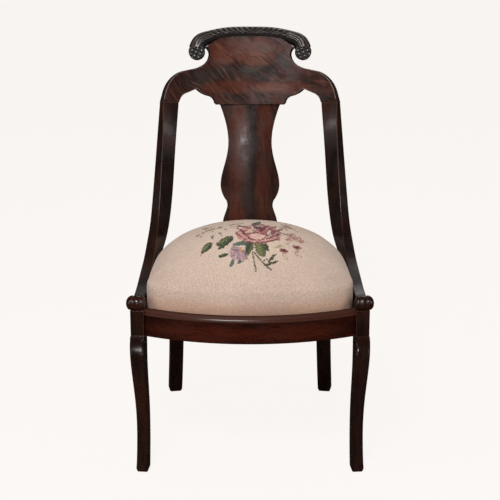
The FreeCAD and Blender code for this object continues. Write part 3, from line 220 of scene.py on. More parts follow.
def polished_wood(name, grain, finish, red=0.35, wear_and_highlight=0.5, dull=0.0):
    """Dark polished mahogany with its grain along one axis."""
    made, tree, shader, place = new_material(name)
    across = 1.0
    along = 0.05
    scale = [across, across, across]
    scale["XYZ".index(grain)] = along
    fibre = stretch_node(tree, place, scale)
    figure = noise_node(tree, fibre, 62.0, 5.0, 0.62, 0.35)
    pores = noise_node(tree, fibre, 620.0, 2.0, 0.5)
    cloud = noise_node(tree, place, 9.0, 2.0, 0.5, 0.4)
    streak = step_node(tree, figure, 0.36, 0.66)
    tone = blend_node(tree, streak, tuple(finish.dark), tuple(finish.middle))
    warm = math_node(tree, "MULTIPLY", step_node(tree, cloud, 0.42, 0.72), red)
    tone = blend_node(tree, warm, tone, tuple(finish.red))
    dark_pores = math_node(tree, "MULTIPLY", step_node(tree, pores, 0.58, 0.70), 0.55)
    tone = blend_node(tree, dark_pores, tone, (0.006, 0.003, 0.002))
    # Edges lightened: worn edges, and on the stiles, where the share is strong, also a painted highlight
    # along the arrises
    wear_and_painted_light = math_node(tree, "MULTIPLY", sharp_edge_share(tree, 0.0022), noise_node(tree, place, 55.0, 3.0, 0.6))
    wear_and_painted_light = math_node(tree, "MULTIPLY", wear_and_painted_light, wear_and_highlight)
    tone = blend_node(tree, wear_and_painted_light, tone, tuple(finish.worn))
    link(tree, tone, shader.inputs["Base Color"])
    smear = noise_node(tree, place, 26.0, 4.0, 0.6)
    rough = step_node(tree, smear, 0.3, 0.75, finish.gloss - 0.06 + dull, finish.gloss + 0.14 + dull)
    link(tree, rough, shader.inputs["Roughness"])
    shader.inputs["Specular IOR Level"].default_value = 0.34
    shader.inputs["Coat Weight"].default_value = 0.12
    shader.inputs["Coat Roughness"].default_value = 0.12
    height = math_node(tree, "SUBTRACT", figure, math_node(tree, "MULTIPLY", pores, 0.8))
    link(tree, bump_node(tree, height, 0.22, 0.0004, 0.0014), shader.inputs["Normal"])
    return made


def dress(names, material):
    """Puts a material in every slot of the named nodes."""
    for name in names:
        piece = nodes[name]
        if not piece.data.materials:
            piece.data.materials.append(material)
        for slot in piece.material_slots:
            slot.material = material


# Sizes and colours that a user would change

class StageSetting(bpy.types.PropertyGroup):
    """Floor, backdrop, lamps and camera."""
    backdrop: bpy.props.FloatVectorProperty(
        name="Backdrop", description="Colour behind the chair", subtype="COLOR", size=3,
        default=(0.947, 0.918, 0.890), min=0, max=1)
    floor: bpy.props.FloatVectorProperty(
        name="Floor", description="Colour of the floor under the lamps", subtype="COLOR", size=3,
        default=(0.80, 0.775, 0.755), min=0, max=1)
    key_power: bpy.props.FloatProperty(
        name="Key lamp", description="Power of the large lamp above", default=50.0, min=0, unit="POWER")
    side_power: bpy.props.FloatProperty(
        name="Side lamp", description="Power of each side lamp", default=9.0, min=0, unit="POWER")
    front_power: bpy.props.FloatProperty(
        name="Front lamp", description="Power of the small lamp that gleams on the splat and the knees",
        default=3.0, min=0, unit="POWER")
    sky: bpy.props.FloatProperty(
        name="Room light", description="Strength of the even light from all round", default=0.30, min=0)
    lens: bpy.props.FloatProperty(
        name="Lens", description="Focal length on a 36 mm frame", default=LENS, min=10, unit="CAMERA")
    camera_back: bpy.props.FloatProperty(
        name="Camera distance", description="Distance in front of the chair's middle", default=EYE_BACK,
        min=0.5, unit="LENGTH")
    camera_height: bpy.props.FloatProperty(
        name="Camera height", description="Height above the floor", default=EYE_HEIGHT, min=0, unit="LENGTH")
    camera_dip: bpy.props.FloatProperty(
        name="Camera dip", description="How far the camera looks down", default=EYE_DIP,
        unit="ROTATION")


class WoodFinish(bpy.types.PropertyGroup):
    """Colours and gloss of the polished wood."""
    dark: bpy.props.FloatVectorProperty(
        name="Dark grain", description="Darkest colour of the polished wood", subtype="COLOR", size=3,
        default=(0.0050, 0.0021, 0.0015), min=0, max=1)
    middle: bpy.props.FloatVectorProperty(
        name="Middle grain", description="Usual colour of the polished wood", subtype="COLOR", size=3,
        default=(0.0175, 0.0056, 0.0030), min=0, max=1)
    red: bpy.props.FloatVectorProperty(
        name="Red cloud", description="Warm patches in the polished wood", subtype="COLOR", size=3,
        default=(0.050, 0.0105, 0.0040), min=0, max=1)
    # Colour of the worn edges, and also of the painted highlight along the stiles' arrises
    worn: bpy.props.FloatVectorProperty(
        name="Worn edge", description="Colour where the edges are rubbed", subtype="COLOR", size=3,
        default=(0.16, 0.075, 0.045), min=0, max=1)
    gloss: bpy.props.FloatProperty(
        name="Roughness", description="Roughness of the old polish", default=0.22, min=0, max=1,
        subtype="FACTOR")


class Carving(bpy.types.PropertyGroup):
    """The carved roll on the crest."""
    leaves: bpy.props.IntProperty(
        name="Leaves", description="Number of leaf ridges on each half", default=11, min=4, max=40)
    relief: bpy.props.FloatProperty(
        name="Relief", description="Depth of the carving", default=0.0032, min=0, max=0.006, unit="LENGTH")


class SeatCover(bpy.types.PropertyGroup):
    """The stuffed seat and its needlepoint."""
    ground: bpy.props.FloatVectorProperty(
        name="Ground", description="Wool of the plain ground", subtype="COLOR", size=3,
        default=(0.612, 0.465, 0.372), min=0, max=1)
    puff: bpy.props.FloatProperty(
        name="Fullness", description="How far the stuffing may press the cover out", default=0.0035,
        min=0, max=0.03, unit="LENGTH")
    stitch_rows: bpy.props.IntProperty(
        name="Stitch rows", description="Rows of stitches over the seat", default=256, min=64, max=320)


class CHAIR_OT_stage(bpy.types.Operator):
    """Floor, backdrop, lamps and camera"""
    bl_idname = "chair.stage"
    bl_label = "Stage"

    def execute(self, context):
        setting = context.scene.chair_stage
        scene = context.scene
        scene.view_settings.view_transform = "Standard"
        world = bpy.data.worlds.new("room")
        scene.world = world
        world.use_nodes = True
        tree = world.node_tree
        tree.nodes.clear()
        out = node(tree, "ShaderNodeOutputWorld")
        path = node(tree, "ShaderNodeLightPath")
        plain = node(tree, "ShaderNodeBackground")
        plain.inputs["Color"].default_value = (1.0, 0.975, 0.955, 1)
        link(tree, math_node(tree, "MULTIPLY_ADD", path.outputs["Is Glossy Ray"], -0.85 * setting.sky,
                             setting.sky), plain.inputs["Strength"])
        seen = node(tree, "ShaderNodeBackground")
        seen.inputs["Color"].default_value = (*setting.backdrop, 1)
        rays = math_node(tree, "MAXIMUM", path.outputs["Is Camera Ray"], path.outputs["Is Transmission Ray"])
        mixed = node(tree, "ShaderNodeMixShader")
        link(tree, rays, mixed.inputs[0])
        link(tree, plain.outputs[0], mixed.inputs[1])
        link(tree, seen.outputs[0], mixed.inputs[2])
        link(tree, mixed.outputs[0], out.inputs["Surface"])

        floor_material, tree, shader, place = new_material("floor")
        soft = noise_node(tree, place, 3.0, 2.0, 0.5)
        tone = blend_node(tree, math_node(tree, "MULTIPLY", soft, 0.04), tuple(setting.floor),
                          (0.72, 0.69, 0.67))
        link(tree, tone, shader.inputs["Base Color"])
        shader.inputs["Roughness"].default_value = 0.9
        shader.inputs["Specular IOR Level"].default_value = 0.1
        seen = node(tree, "ShaderNodeEmission")
        seen.inputs["Color"].default_value = (*[min(1.0, c * 1.045) for c in setting.backdrop], 1)
        path = node(tree, "ShaderNodeLightPath")
        share = math_node(tree, "MULTIPLY", path.outputs["Is Camera Ray"], 0.93)
        dim = node(tree, "ShaderNodeBsdfDiffuse")
        dim.inputs["Color"].default_value = (0.045, 0.037, 0.032, 1)
        lit = node(tree, "ShaderNodeMixShader")
        link(tree, path.outputs["Is Glossy Ray"], lit.inputs[0])
        link(tree, shader.outputs[0], lit.inputs[1])
        link(tree, dim.outputs[0], lit.inputs[2])
        mixed = node(tree, "ShaderNodeMixShader")
        link(tree, share, mixed.inputs[0])
        link(tree, lit.outputs[0], mixed.inputs[1])
        link(tree, seen.outputs[0], mixed.inputs[2])
        link(tree, mixed.outputs[0], tree.nodes["Material Output"].inputs["Surface"])
        reach = 30.0
        floor_mesh = bpy.data.meshes.new("floor")
        floor_mesh.from_pydata([(-reach, -reach, 0), (reach, -reach, 0), (reach, reach, 0),
                                (-reach, reach, 0)], [], [(0, 1, 2, 3)])
        floor = bpy.data.objects.new("floor", floor_mesh)
        floor_mesh.materials.append(floor_material)
        scene.collection.objects.link(floor)

        def lamp(name, power, wide, high, spot, target):
            light = bpy.data.lights.new(name, "AREA")
            light.shape = "RECTANGLE"
            light.size = wide
            light.size_y = high
            light.energy = power
            holder = bpy.data.objects.new(name, light)
            holder.location = spot
            aim = (Vector(target) - Vector(spot)).to_track_quat("-Z", "Y")
            holder.rotation_euler = aim.to_euler()
            scene.collection.objects.link(holder)

        lamp("key_lamp", setting.key_power, 0.8, 0.6, (-0.45, -1.9, 2.3), (0, 0, 0.45))
        lamp("left_lamp", setting.side_power, 0.35, 1.3, (-2.2, -1.0, 1.1), (0, 0, 0.45))
        lamp("right_lamp", setting.side_power, 0.35, 1.3, (2.2, -0.8, 1.2), (0, 0, 0.45))
        lamp("back_lamp", setting.side_power, 1.6, 0.8, (0.4, 2.2, 2.0), (0, 0, 0.5))
        lamp("front_lamp", setting.front_power, 0.12, 0.22, (-0.214, -1.9, 0.85), (0, 0.18, 0.60))

        camera = bpy.data.cameras.new("camera")
        camera.lens = setting.lens
        camera.sensor_width = SENSOR
        holder = bpy.data.objects.new("camera", camera)
        holder.location = (0, -setting.camera_back, setting.camera_height)
        holder.rotation_euler = (math.radians(90) - setting.camera_dip, 0, 0)
        scene.collection.objects.link(holder)
        scene.camera = holder
        return {"FINISHED"}


class CHAIR_OT_polish(bpy.types.Operator):
    """Polished mahogany on the legs, rails, stiles, rolls and crest"""
    bl_idname = "chair.polish"
    bl_label = "Polished wood"

    def execute(self, context):
        finish = context.scene.chair_wood
        upright = polished_wood("mahogany_upright", "Z", finish, 0.30, 0.6)
        cross = polished_wood("mahogany_cross", "X", finish, 0.45, 0.5)
        deep = polished_wood("mahogany_deep", "Y", finish, 0.35, 0.5)
        # Strong edge lightening on the stiles: worn edges and a painted highlight along their arrises
        stile = polished_wood("mahogany_stile", "Z", finish, 0.55, 1.3, 0.10)
        dress(["left_rear_leg", "right_rear_leg", "splat"], upright)
        dress(["left_front_leg", "right_front_leg"], self.knee(upright))
        dress(["left_stile", "right_stile"], stile)
        dress(["rear_rail", "crest_rail", "left_scroll", "right_scroll"], cross)
        dress(["front_rail"], self.moulding(cross))
        dress(["left_side_rail", "right_side_rail"], deep)
        return {"FINISHED"}

    def knee(self, upright):
        """The upright polish, with the knee's front worn round, so that it gleams below the block."""
        made = upright.copy()
        made.name = "mahogany_knee"
        tree = made.node_tree
        shader = tree.nodes["Principled BSDF"]
        where = node(tree, "ShaderNodeSeparateXYZ")
        link(tree, node(tree, "ShaderNodeTexCoord").outputs["Object"], where.inputs[0])
        climb = math_node(tree, "MAXIMUM", math_node(tree, "SUBTRACT", where.outputs["Z"], 0.250), 0.0)
        worn = step_node(tree, where.outputs["Z"], 0.2985, 0.2965)
        side = math_node(tree, "SIGN", where.outputs["X"])
        off = math_node(tree, "SUBTRACT", math_node(tree, "ABSOLUTE", where.outputs["X"]), 0.222)
        across = math_node(tree, "MULTIPLY", math_node(tree, "MULTIPLY", off, side),
                           step_node(tree, where.outputs["Z"], 0.248, 0.268, 0.0, 9.0))
        sway = node(tree, "ShaderNodeCombineXYZ")
        link(tree, math_node(tree, "MULTIPLY", across, worn), sway.inputs[0])
        lean = math_node(tree, "MULTIPLY", math_node(tree, "MULTIPLY", climb, 30.0), worn)
        link(tree, lean, sway.inputs[2])
        link(tree, swell_node(tree, shader.inputs["Normal"].links[0].from_socket, sway.outputs[0]),
             shader.inputs["Normal"])
        return made

    def moulding(self, cross):
        """The cross-grained polish, redder, with its gloss left on the narrow bead of the moulding."""
        made = cross.copy()
        made.name = "mahogany_moulding"
        tree = made.node_tree
        shader = tree.nodes["Principled BSDF"]
        height = node(tree, "ShaderNodeSeparateXYZ")
        link(tree, node(tree, "ShaderNodeTexCoord").outputs["Object"], height.inputs[0])
        tone = shader.inputs["Base Color"].links[0].from_socket
        link(tree, blend_node(tree, 0.78, tone, (0.052, 0.0125, 0.0052)), shader.inputs["Base Color"])
        above = step_node(tree, height.outputs["Z"], 0.3449, 0.3456, 0.0, 0.40)
        below = step_node(tree, height.outputs["Z"], 0.3440, 0.3432, 0.0, 0.36)
        link(tree, math_node(tree, "ADD", math_node(tree, "ADD", above, below), 0.20),
             shader.inputs["Roughness"])
        shader.inputs["Coat Weight"].default_value = 0.0
        shader.inputs["Specular IOR Level"].default_value = 0.20
        return made


def flame_material(name, sweep, tones, spots, gloss, fan=0.0, rounded=0.0, wear_and_painted_light=0.0):
    """Veneer with feathered figure. Sweep is the lean of the feathers from upright, in degrees, and fan
    is how much that lean changes from one side to the other; spots place warm and smoky patches. Rounded
    swells the face from side to side, and the last argument lightens the arrises at the shoulders: worn edges
    and a painted highlight."""
    made, tree, shader, place = new_material(name)
    where = node(tree, "ShaderNodeSeparateXYZ")
    link(tree, place, where.inputs[0])
    swirl = noise_node(tree, place, 13.0, 2.0, 0.5, 0.8)
    drift = math_node(tree, "MULTIPLY", math_node(tree, "SUBTRACT", swirl, 0.5), 0.030)
    bent = math_node(tree, "MULTIPLY", math_node(tree, "POWER", where.outputs["X"], 2.0), fan)
    moved = node(tree, "ShaderNodeCombineXYZ")
    link(tree, math_node(tree, "ADD", where.outputs["X"], drift), moved.inputs[0])
    link(tree, math_node(tree, "ADD", math_node(tree, "SUBTRACT", where.outputs["Z"], bent), drift),
         moved.inputs[2])
    turned = node(tree, "ShaderNodeVectorRotate", rotation_type="Y_AXIS")
    link(tree, moved.outputs[0], turned.inputs["Vector"])
    turned.inputs["Angle"].default_value = math.radians(sweep)
    broad = noise_node(tree, stretch_node(tree, turned.outputs[0], (1, 1, 0.20)), 60.0, 3.0, 0.6, 0.5)
    fine = noise_node(tree, stretch_node(tree, turned.outputs[0], (1, 1, 0.10)), 190.0, 4.0, 0.65, 0.4)
    dark, middle, streak = tones
    tone = blend_node(tree, step_node(tree, broad, 0.34, 0.66), dark, middle)
    for x, z, wide, high, colour, amount in spots:
        dx = math_node(tree, "DIVIDE", math_node(tree, "SUBTRACT", where.outputs["X"], x), wide)
        dz = math_node(tree, "DIVIDE", math_node(tree, "SUBTRACT", where.outputs["Z"], z), high)
        far = math_node(tree, "ADD", math_node(tree, "POWER", dx, 2.0), math_node(tree, "POWER", dz, 2.0))
        ragged = math_node(tree, "MULTIPLY", math_node(tree, "SUBTRACT", broad, 0.5), 2.0)
        inside = step_node(tree, math_node(tree, "ADD", far, ragged), 1.5, 0.1)
        share = math_node(tree, "MULTIPLY", inside, amount)
        tone = blend_node(tree, share, tone, colour)
    light = math_node(tree, "MULTIPLY", step_node(tree, fine, 0.52, 0.68), 0.55)
    tone = blend_node(tree, light, tone, streak)
    shade = math_node(tree, "MULTIPLY", step_node(tree, fine, 0.49, 0.34), 0.80)
    tone = blend_node(tree, shade, tone, dark)
    # Shoulder arrises lightened to a pale pinkish grey: worn edges and a painted highlight along them
    if wear_and_painted_light:
        outward = step_node(tree, math_node(tree, "ABSOLUTE", where.outputs["X"]), 0.085, 0.125)
        foot = step_node(tree, where.outputs["Z"], 0.7020, 0.7060, 0.0, wear_and_painted_light)
        arris = math_node(tree, "MULTIPLY", sharp_edge_share(tree, 0.0034), outward)
        arris = math_node(tree, "MULTIPLY", arris, foot)
        tone = blend_node(tree, arris, tone, (0.30, 0.215, 0.195))
    link(tree, tone, shader.inputs["Base Color"])
    smear = noise_node(tree, place, 30.0, 4.0, 0.6)
    link(tree, step_node(tree, smear, 0.3, 0.75, gloss - 0.05, gloss + 0.13), shader.inputs["Roughness"])
    shader.inputs["Specular IOR Level"].default_value = 0.34
    shader.inputs["Coat Weight"].default_value = 0.12
    shader.inputs["Coat Roughness"].default_value = 0.14
    bump = bump_node(tree, fine, 0.10, 0.0003, 0.001)
    if rounded:
        sway = node(tree, "ShaderNodeCombineXYZ")
        link(tree, math_node(tree, "MULTIPLY", where.outputs["X"], rounded), sway.inputs[0])
        bump = swell_node(tree, bump, sway.outputs[0])
    link(tree, bump, shader.inputs["Normal"])
    return made


class CHAIR_OT_veneer(bpy.types.Operator):
    """Flame veneer on the crest, the splat and the front rail"""
    bl_idname = "chair.veneer"
    bl_label = "Veneer"

    def execute(self, context):
        rose = (0.085, 0.024, 0.016)
        smoke = (0.024, 0.016, 0.014)
        ember = (0.100, 0.022, 0.010)
        amber = (0.150, 0.050, 0.026)
        night = (0.012, 0.0052, 0.0040)
        crest = flame_material("crest_flame", 52, ((0.013, 0.0062, 0.0050), (0.052, 0.016, 0.011), amber), [
            (-0.035, 0.800, 0.055, 0.026, rose, 0.75), (0.030, 0.805, 0.060, 0.022, rose, 0.70),
            (0.018, 0.782, 0.036, 0.017, amber, 0.55), (-0.060, 0.786, 0.030, 0.016, amber, 0.30),
            (0.074, 0.775, 0.022, 0.024, smoke, 0.85), (0.040, 0.757, 0.050, 0.012, smoke, 0.85),
            (-0.045, 0.752, 0.075, 0.013, smoke, 0.85), (0.020, 0.742, 0.020, 0.012, smoke, 0.80),
            (-0.110, 0.742, 0.034, 0.022, smoke, 0.85), (0.125, 0.738, 0.034, 0.018, night, 0.60),
            (0.045, 0.722, 0.045, 0.012, amber, 0.50), (-0.030, 0.722, 0.080, 0.014, ember, 0.60),
            (0.100, 0.722, 0.045, 0.016, ember, 0.45)], 0.25, 2.2, 0.0, 0.9)
        splat = flame_material("splat_flame", 6, ((0.014, 0.0056, 0.0042), (0.040, 0.0120, 0.0078),
                                                  (0.080, 0.024, 0.013)), [
            (-0.026, 0.640, 0.020, 0.060, ember, 0.55), (0.034, 0.640, 0.018, 0.060, ember, 0.50),
            (-0.030, 0.520, 0.018, 0.080, ember, 0.45), (0.026, 0.500, 0.018, 0.080, ember, 0.35),
            (0.004, 0.560, 0.010, 0.220, night, 0.70), (-0.010, 0.470, 0.014, 0.060, smoke, 0.5),
            (-0.030, 0.430, 0.020, 0.040, ember, 0.60)], 0.24, 0.0, 3.4)
        rail = flame_material("rail_flame", 84, ((0.011, 0.0016, 0.0005), (0.030, 0.0036, 0.0009),
                                                 (0.050, 0.0070, 0.0020)), [
            (-0.09, 0.316, 0.10, 0.018, (0.060, 0.0085, 0.0025), 0.6),
            (0.08, 0.316, 0.10, 0.018, (0.060, 0.0085, 0.0025), 0.6)], 0.24)
        dress(["crest_veneer"], crest)
        dress(["splat_veneer"], splat)
        dress(["front_rail_veneer"], rail)
        return {"FINISHED"}


class CHAIR_OT_joinery(bpy.types.Operator):
    """Plain wood, dowels and iron that the polished wood hides"""
    bl_idname = "chair.joinery"
    bl_label = "Joinery"

    def execute(self, context):
        def plain_wood(name, low, high, grain):
            made, tree, shader, place = new_material(name)
            scale = [1.0, 1.0, 1.0]
            scale["XYZ".index(grain)] = 0.05
            fibre = stretch_node(tree, place, scale)
            rings = noise_node(tree, fibre, 70.0, 4.0, 0.6, 0.4)
            fuzz = noise_node(tree, fibre, 700.0, 2.0, 0.5)
            tone = blend_node(tree, step_node(tree, rings, 0.35, 0.68), low, high)
            stain = step_node(tree, noise_node(tree, place, 14.0, 4.0, 0.6), 0.5, 0.8, 0.0, 0.45)
            tone = blend_node(tree, stain, tone, (0.10, 0.062, 0.036))
            link(tree, tone, shader.inputs["Base Color"])
            shader.inputs["Roughness"].default_value = 0.72
            link(tree, bump_node(tree, fuzz, 0.35, 0.0004, 0.0008), shader.inputs["Normal"])
            return made

        dress(["left_front_corner_block", "right_front_corner_block", "left_rear_corner_block",
               "right_rear_corner_block", "front_slip_member", "rear_slip_member"],
              plain_wood("pine", (0.42, 0.26, 0.13), (0.58, 0.40, 0.22), "X"))
        dress(["left_slip_member", "right_slip_member"],
              plain_wood("pine_lengthwise", (0.42, 0.26, 0.13), (0.58, 0.40, 0.22), "Y"))
        dress(["front_rail_dowels", "side_rail_dowels", "rear_rail_dowels", "crest_dowels",
               "stile_foot_dowels", "scroll_dowels", "crest_roll_dowels", "slip_frame_dowels"],
              plain_wood("birch", (0.52, 0.38, 0.22), (0.66, 0.52, 0.34), "Z"))
        made, tree, shader, place = new_material("blued_iron")
        spots = noise_node(tree, place, 900.0, 3.0, 0.6)
        rust = step_node(tree, noise_node(tree, place, 320.0, 3.0, 0.6), 0.5, 0.72)
        link(tree, blend_node(tree, rust, (0.09, 0.085, 0.082), (0.16, 0.062, 0.028)),
             shader.inputs["Base Color"])
        link(tree, step_node(tree, rust, 0.0, 1.0, 0.35, 0.8), shader.inputs["Roughness"])
        shader.inputs["Metallic"].default_value = 0.8
        link(tree, bump_node(tree, spots, 0.4, 0.0002), shader.inputs["Normal"])
        dress(["corner_block_screws", "webbing_tacks", "cover_tacks"], made)
        return {"FINISHED"}


# Crest frame, as the frame has it: hollow face of one radius, leaning back
CREST_HOLLOW = 0.470
CREST_THICK = 0.022
CREST_LEAN = math.radians(13.0)
CREST_FOOT = Vector((0.0, 0.199278, 0.689))


def on_crest(x, depth, rise):
    """Point of the crest: x along its face, depth behind the face, rise above the joint."""
    beta = math.asin(max(-1.0, min(1.0, x / CREST_HOLLOW)))
    radius = CREST_HOLLOW + depth
    flat = Vector((radius * math.sin(beta), radius * math.cos(beta) - CREST_HOLLOW, rise))
    return CREST_FOOT + Matrix.Rotation(-CREST_LEAN, 3, "X") @ flat


def smooth_run(knots, rows):
    """Smooth curve through rows of numbers at the given knots, with continuous bend."""
    count = len(knots)
    gaps = np.diff(knots)
    system = np.eye(count)
    right = np.zeros(rows.shape)
    for k in range(1, count - 1):
        system[k, k - 1:k + 2] = gaps[k - 1], 2 * (gaps[k - 1] + gaps[k]), gaps[k]
        right[k] = 6 * ((rows[k + 1] - rows[k]) / gaps[k] - (rows[k] - rows[k - 1]) / gaps[k - 1])
    bend = np.linalg.solve(system, right)

    def at(s):
        k = min(max(int(np.searchsorted(knots, s)) - 1, 0), count - 2)
        gap = gaps[k]
        a, b = (knots[k + 1] - s) / gap, (s - knots[k]) / gap
        bulge = (a ** 3 - a) * bend[k] + (b ** 3 - b) * bend[k + 1]
        return a * rows[k] + b * rows[k + 1] + bulge * gap ** 2 / 6

    return at


def carved_mahogany():
    """Dark polish left in the hollows and worn lighter on the high places; the roll's underside stays dark as
    painted shade.
    """
    made, tree, shader, place = new_material("carved_mahogany")
    cavity = node(tree, "ShaderNodeVertexColor", layer_name="wear_and_painted_light").outputs["Color"]
    grey = node(tree, "ShaderNodeSeparateColor")
    link(tree, cavity, grey.inputs[0])
    speck = noise_node(tree, place, 420.0, 3.0, 0.6)
    high = math_node(tree, "MULTIPLY", grey.outputs[0], step_node(tree, speck, 0.25, 0.7, 0.55, 1.0))
    tone = blend_node(tree, high, (0.0060, 0.0042, 0.0040), (0.075, 0.050, 0.042))
    link(tree, tone, shader.inputs["Base Color"])
    link(tree, step_node(tree, high, 0.0, 1.0, 0.50, 0.27), shader.inputs["Roughness"])
    shader.inputs["Coat Weight"].default_value = 0.25
    shader.inputs["Coat Roughness"].default_value = 0.2
    link(tree, bump_node(tree, speck, 0.25, 0.0003), shader.inputs["Normal"])
    return made


class CHAIR_OT_roll(bpy.types.Operator):
    """Carved roll along the top of the crest, with a volute at each end"""
    bl_idname = "chair.roll"
    bl_label = "Carved roll"

    def execute(self, context):
        carving = context.scene.chair_carving
        # Distance out, drop and half height of the bar in mm, and its heading in degrees
        stations = np.array([(0.0, 0.0, 13.5, 0.0), (54.0, -2.6, 13.65, -5.0), (90.0, -11.6, 14.7, -20.0),
                             (105.5, -20.0, 16.2, -42.0), (113.0, -34.0, 16.6, -80.0)])
        stations[:, :3] *= 0.001
        run = np.concatenate([[0], np.cumsum(np.hypot(np.diff(stations[:, 0]), np.diff(stations[:, 1])))])
        mirrored = stations[:0:-1] * np.array([-1, 1, 1, -1])
        knots = np.concatenate([-run[:0:-1], run])
        curve = smooth_run(knots, np.concatenate([mirrored, stations]))
        columns = 128
        half = 260
        points = []
        wear_and_painted_light = []
        steps = np.linspace(-1, 1, 2 * half + 1)
        for t in steps:
            s = abs(t) * run[-1]
            side = -1 if t < 0 else 1
            x, drop, tall, heading = curve(s)
            tilt = math.radians(heading)
            flutes = float(ease(0.56, 0.72, s / run[-1]))
            for c in range(columns):
                a = 2 * math.pi * c / columns
                up, out = math.cos(a), math.sin(a)
                front = float(ease(-0.05, 0.75, -out))
                # Bold leaves slant away from the middle; near the ends long flutes run down to the volutes
                phase = s / run[-1] * carving.leaves - 1.5 * up
                leaf = phase - math.floor(phase)
                ridge = min(leaf / 0.78, (1 - leaf) / 0.22) ** 0.75
                vein = 0.22 * math.cos(2 * math.pi * leaf * 3.0 + 5.0 * up)
                lobed = 0.16 * math.cos(9.0 * up + 2.0 * math.floor(phase))
                level = ridge * (1 - flutes) * (1 + vein + lobed)
                level += flutes * (0.35 + 0.65 * abs(math.cos(8.5 * up + 2.4 * s / run[-1])))
                # Underside of the bar: the carving is shallower there, and its colour stays dark as painted
                # shade
                under = float(ease(-0.08, -0.34, up))
                level *= 1 - 0.85 * under
                end = 1.0 - 0.8 * float(ease(0.90, 1.0, s / run[-1]))
                relief = carving.relief * (level - 1.0) * end * front
                wide = 0.0180 + relief
                high = tall + relief * 0.35
                upward = Vector((-math.sin(tilt) * side, 0, math.cos(tilt)))
                place = Vector((x * side, 0, 0.1532 + drop)) + upward * (high * up)
                points.append(on_crest(place.x, CREST_THICK / 2 + wide * out, place.z))
                crisp = float(ease(0.62, 0.95, ridge)) * (1 - flutes) + flutes * float(ease(0.6, 0.95, level))
                # Lighter on crisp ridges, more towards the front; dark on the underside as painted shade
                wear_and_painted_light.append(crisp * (0.25 + 0.75 * front) * (1 - under))
        faces = grid_faces(2 * half + 1, columns, True)
        faces.append(tuple(range(columns))[::-1])
        faces.append(tuple(range(2 * half * columns, (2 * half + 1) * columns)))
        material = carved_mahogany()
        roll = make_piece("carved_roll", points, faces, "frame", material)
        turn_outward(roll.data)
        layer = roll.data.color_attributes.new("wear_and_painted_light", "FLOAT_COLOR", "POINT")
        layer.data.foreach_set("color", np.repeat(np.array(wear_and_painted_light), 4).astype(np.float32))
        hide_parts("crest_roll")
        for side in (-1, 1):
            self.volute(side, material)
        return {"FINISHED"}

    def volute(self, side, material):
        """A round button carved with rows of small lobes."""
        radius = 0.0178
        deep = 0.0140
        columns = 128
        points = []
        wear_and_painted_light = []
        profile = [(radius * k / 33 * 0.80, -deep) for k in range(34)]
        for k in range(1, 11):
            a = math.pi / 2 * k / 10
            profile.append((radius * (0.80 + 0.20 * math.sin(a)), -deep + radius * 0.20 * (1 - math.cos(a))))
        profile = profile + [(radius, 0.0)] + [(r, -d) for r, d in profile[::-1]]
        middle = CREST_HOLLOW + CREST_THICK / 2
        ahead = math.sqrt(middle ** 2 - 0.1162 ** 2) - CREST_HOLLOW
        lean = Matrix.Rotation(-CREST_LEAN, 3, "X")
        tilt = math.radians(24) * side
        for r, d in profile:
            for c in range(columns):
                a = 2 * math.pi * c / columns
                across = r * math.cos(a)
                rise = r * math.sin(a)
                p = (across * math.cos(tilt) + rise * math.sin(tilt)) / 0.0098
                q = (-across * math.sin(tilt) + rise * math.cos(tilt)) / 0.0084
                lobe = abs(math.cos(math.pi * p) * math.cos(math.pi * (q + 0.25)))
                level = lobe ** 0.5
                rim = float(ease(0.80, 1.0, r / radius))
                cut = 0.0024 * (1 - level) * (1 - 0.6 * rim)
                depth = d + (cut if d < 0 else -cut)
                place = Vector((side * 0.1162 + across, ahead + (depth if d else 0.0), 0.1106 + rise))
                points.append(CREST_FOOT + lean @ place)
                wear_and_painted_light.append(float(ease(0.72, 0.98, level)) * (1 - 0.5 * rim) * 0.9)
        piece = make_piece("volute_right" if side > 0 else "volute_left", points,
                           grid_faces(len(profile), columns, True), "frame", material)
        turn_outward(piece.data)
        layer = piece.data.color_attributes.new("wear_and_painted_light", "FLOAT_COLOR", "POINT")
        layer.data.foreach_set("color", np.repeat(np.array(wear_and_painted_light), 4).astype(np.float32))


# Seat: the frame's own outline, read where the cover stands, so the layers keep inside the rebate

class SeatShape:
    """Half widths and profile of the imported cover, found by rays from outside."""

    def __init__(self):
        cover = nodes["needlepoint_cover"]
        self.tree = BVHTree.FromObject(cover, bpy.context.evaluated_depsgraph_get())
        low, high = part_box("needlepoint_cover")
        self.middle = Vector((0, (low.y + high.y) / 2, 0))

    def reach(self, angle, z):
        """Distance from the middle to the outside of the cover at a height."""
        way = Vector((math.cos(angle), math.sin(angle), 0))
        start = Vector((self.middle.x, self.middle.y, z)) + way * 0.5
        hit = self.tree.ray_cast(start, -way)
        return (hit[0] - Vector((self.middle.x, self.middle.y, z))).length if hit[0] else 0.0

    def crown(self, angle, climb, inset):
        """Point of the crown, inset: climb runs from 0 at the top of the sides to 1 at the very top."""
        turn = math.pi / 2 * climb
        flat = 0.200 * math.cos(turn)
        way = Vector((math.cos(angle) * flat, math.sin(angle) * flat, 0.079 * math.sin(turn))).normalized()
        start = Vector((self.middle.x, self.middle.y, 0.395))
        hit = self.tree.ray_cast(start + way * 0.6, -way)
        return (hit[0] if hit[0] else start + way * 0.1) - way * inset


def square_to_round(a, b):
    """Places a square's point (a, b in -1..1) so that its edges lie on a circle of angles."""
    if abs(a) >= abs(b):
        r = abs(a)
        angle = (math.pi / 4) * (b / a) if a else 0.0
        if a < 0:
            angle += math.pi
    else:
        r = abs(b)
        angle = math.pi / 2 - (math.pi / 4) * (a / b)
        if b < 0:
            angle += math.pi
    return r, angle


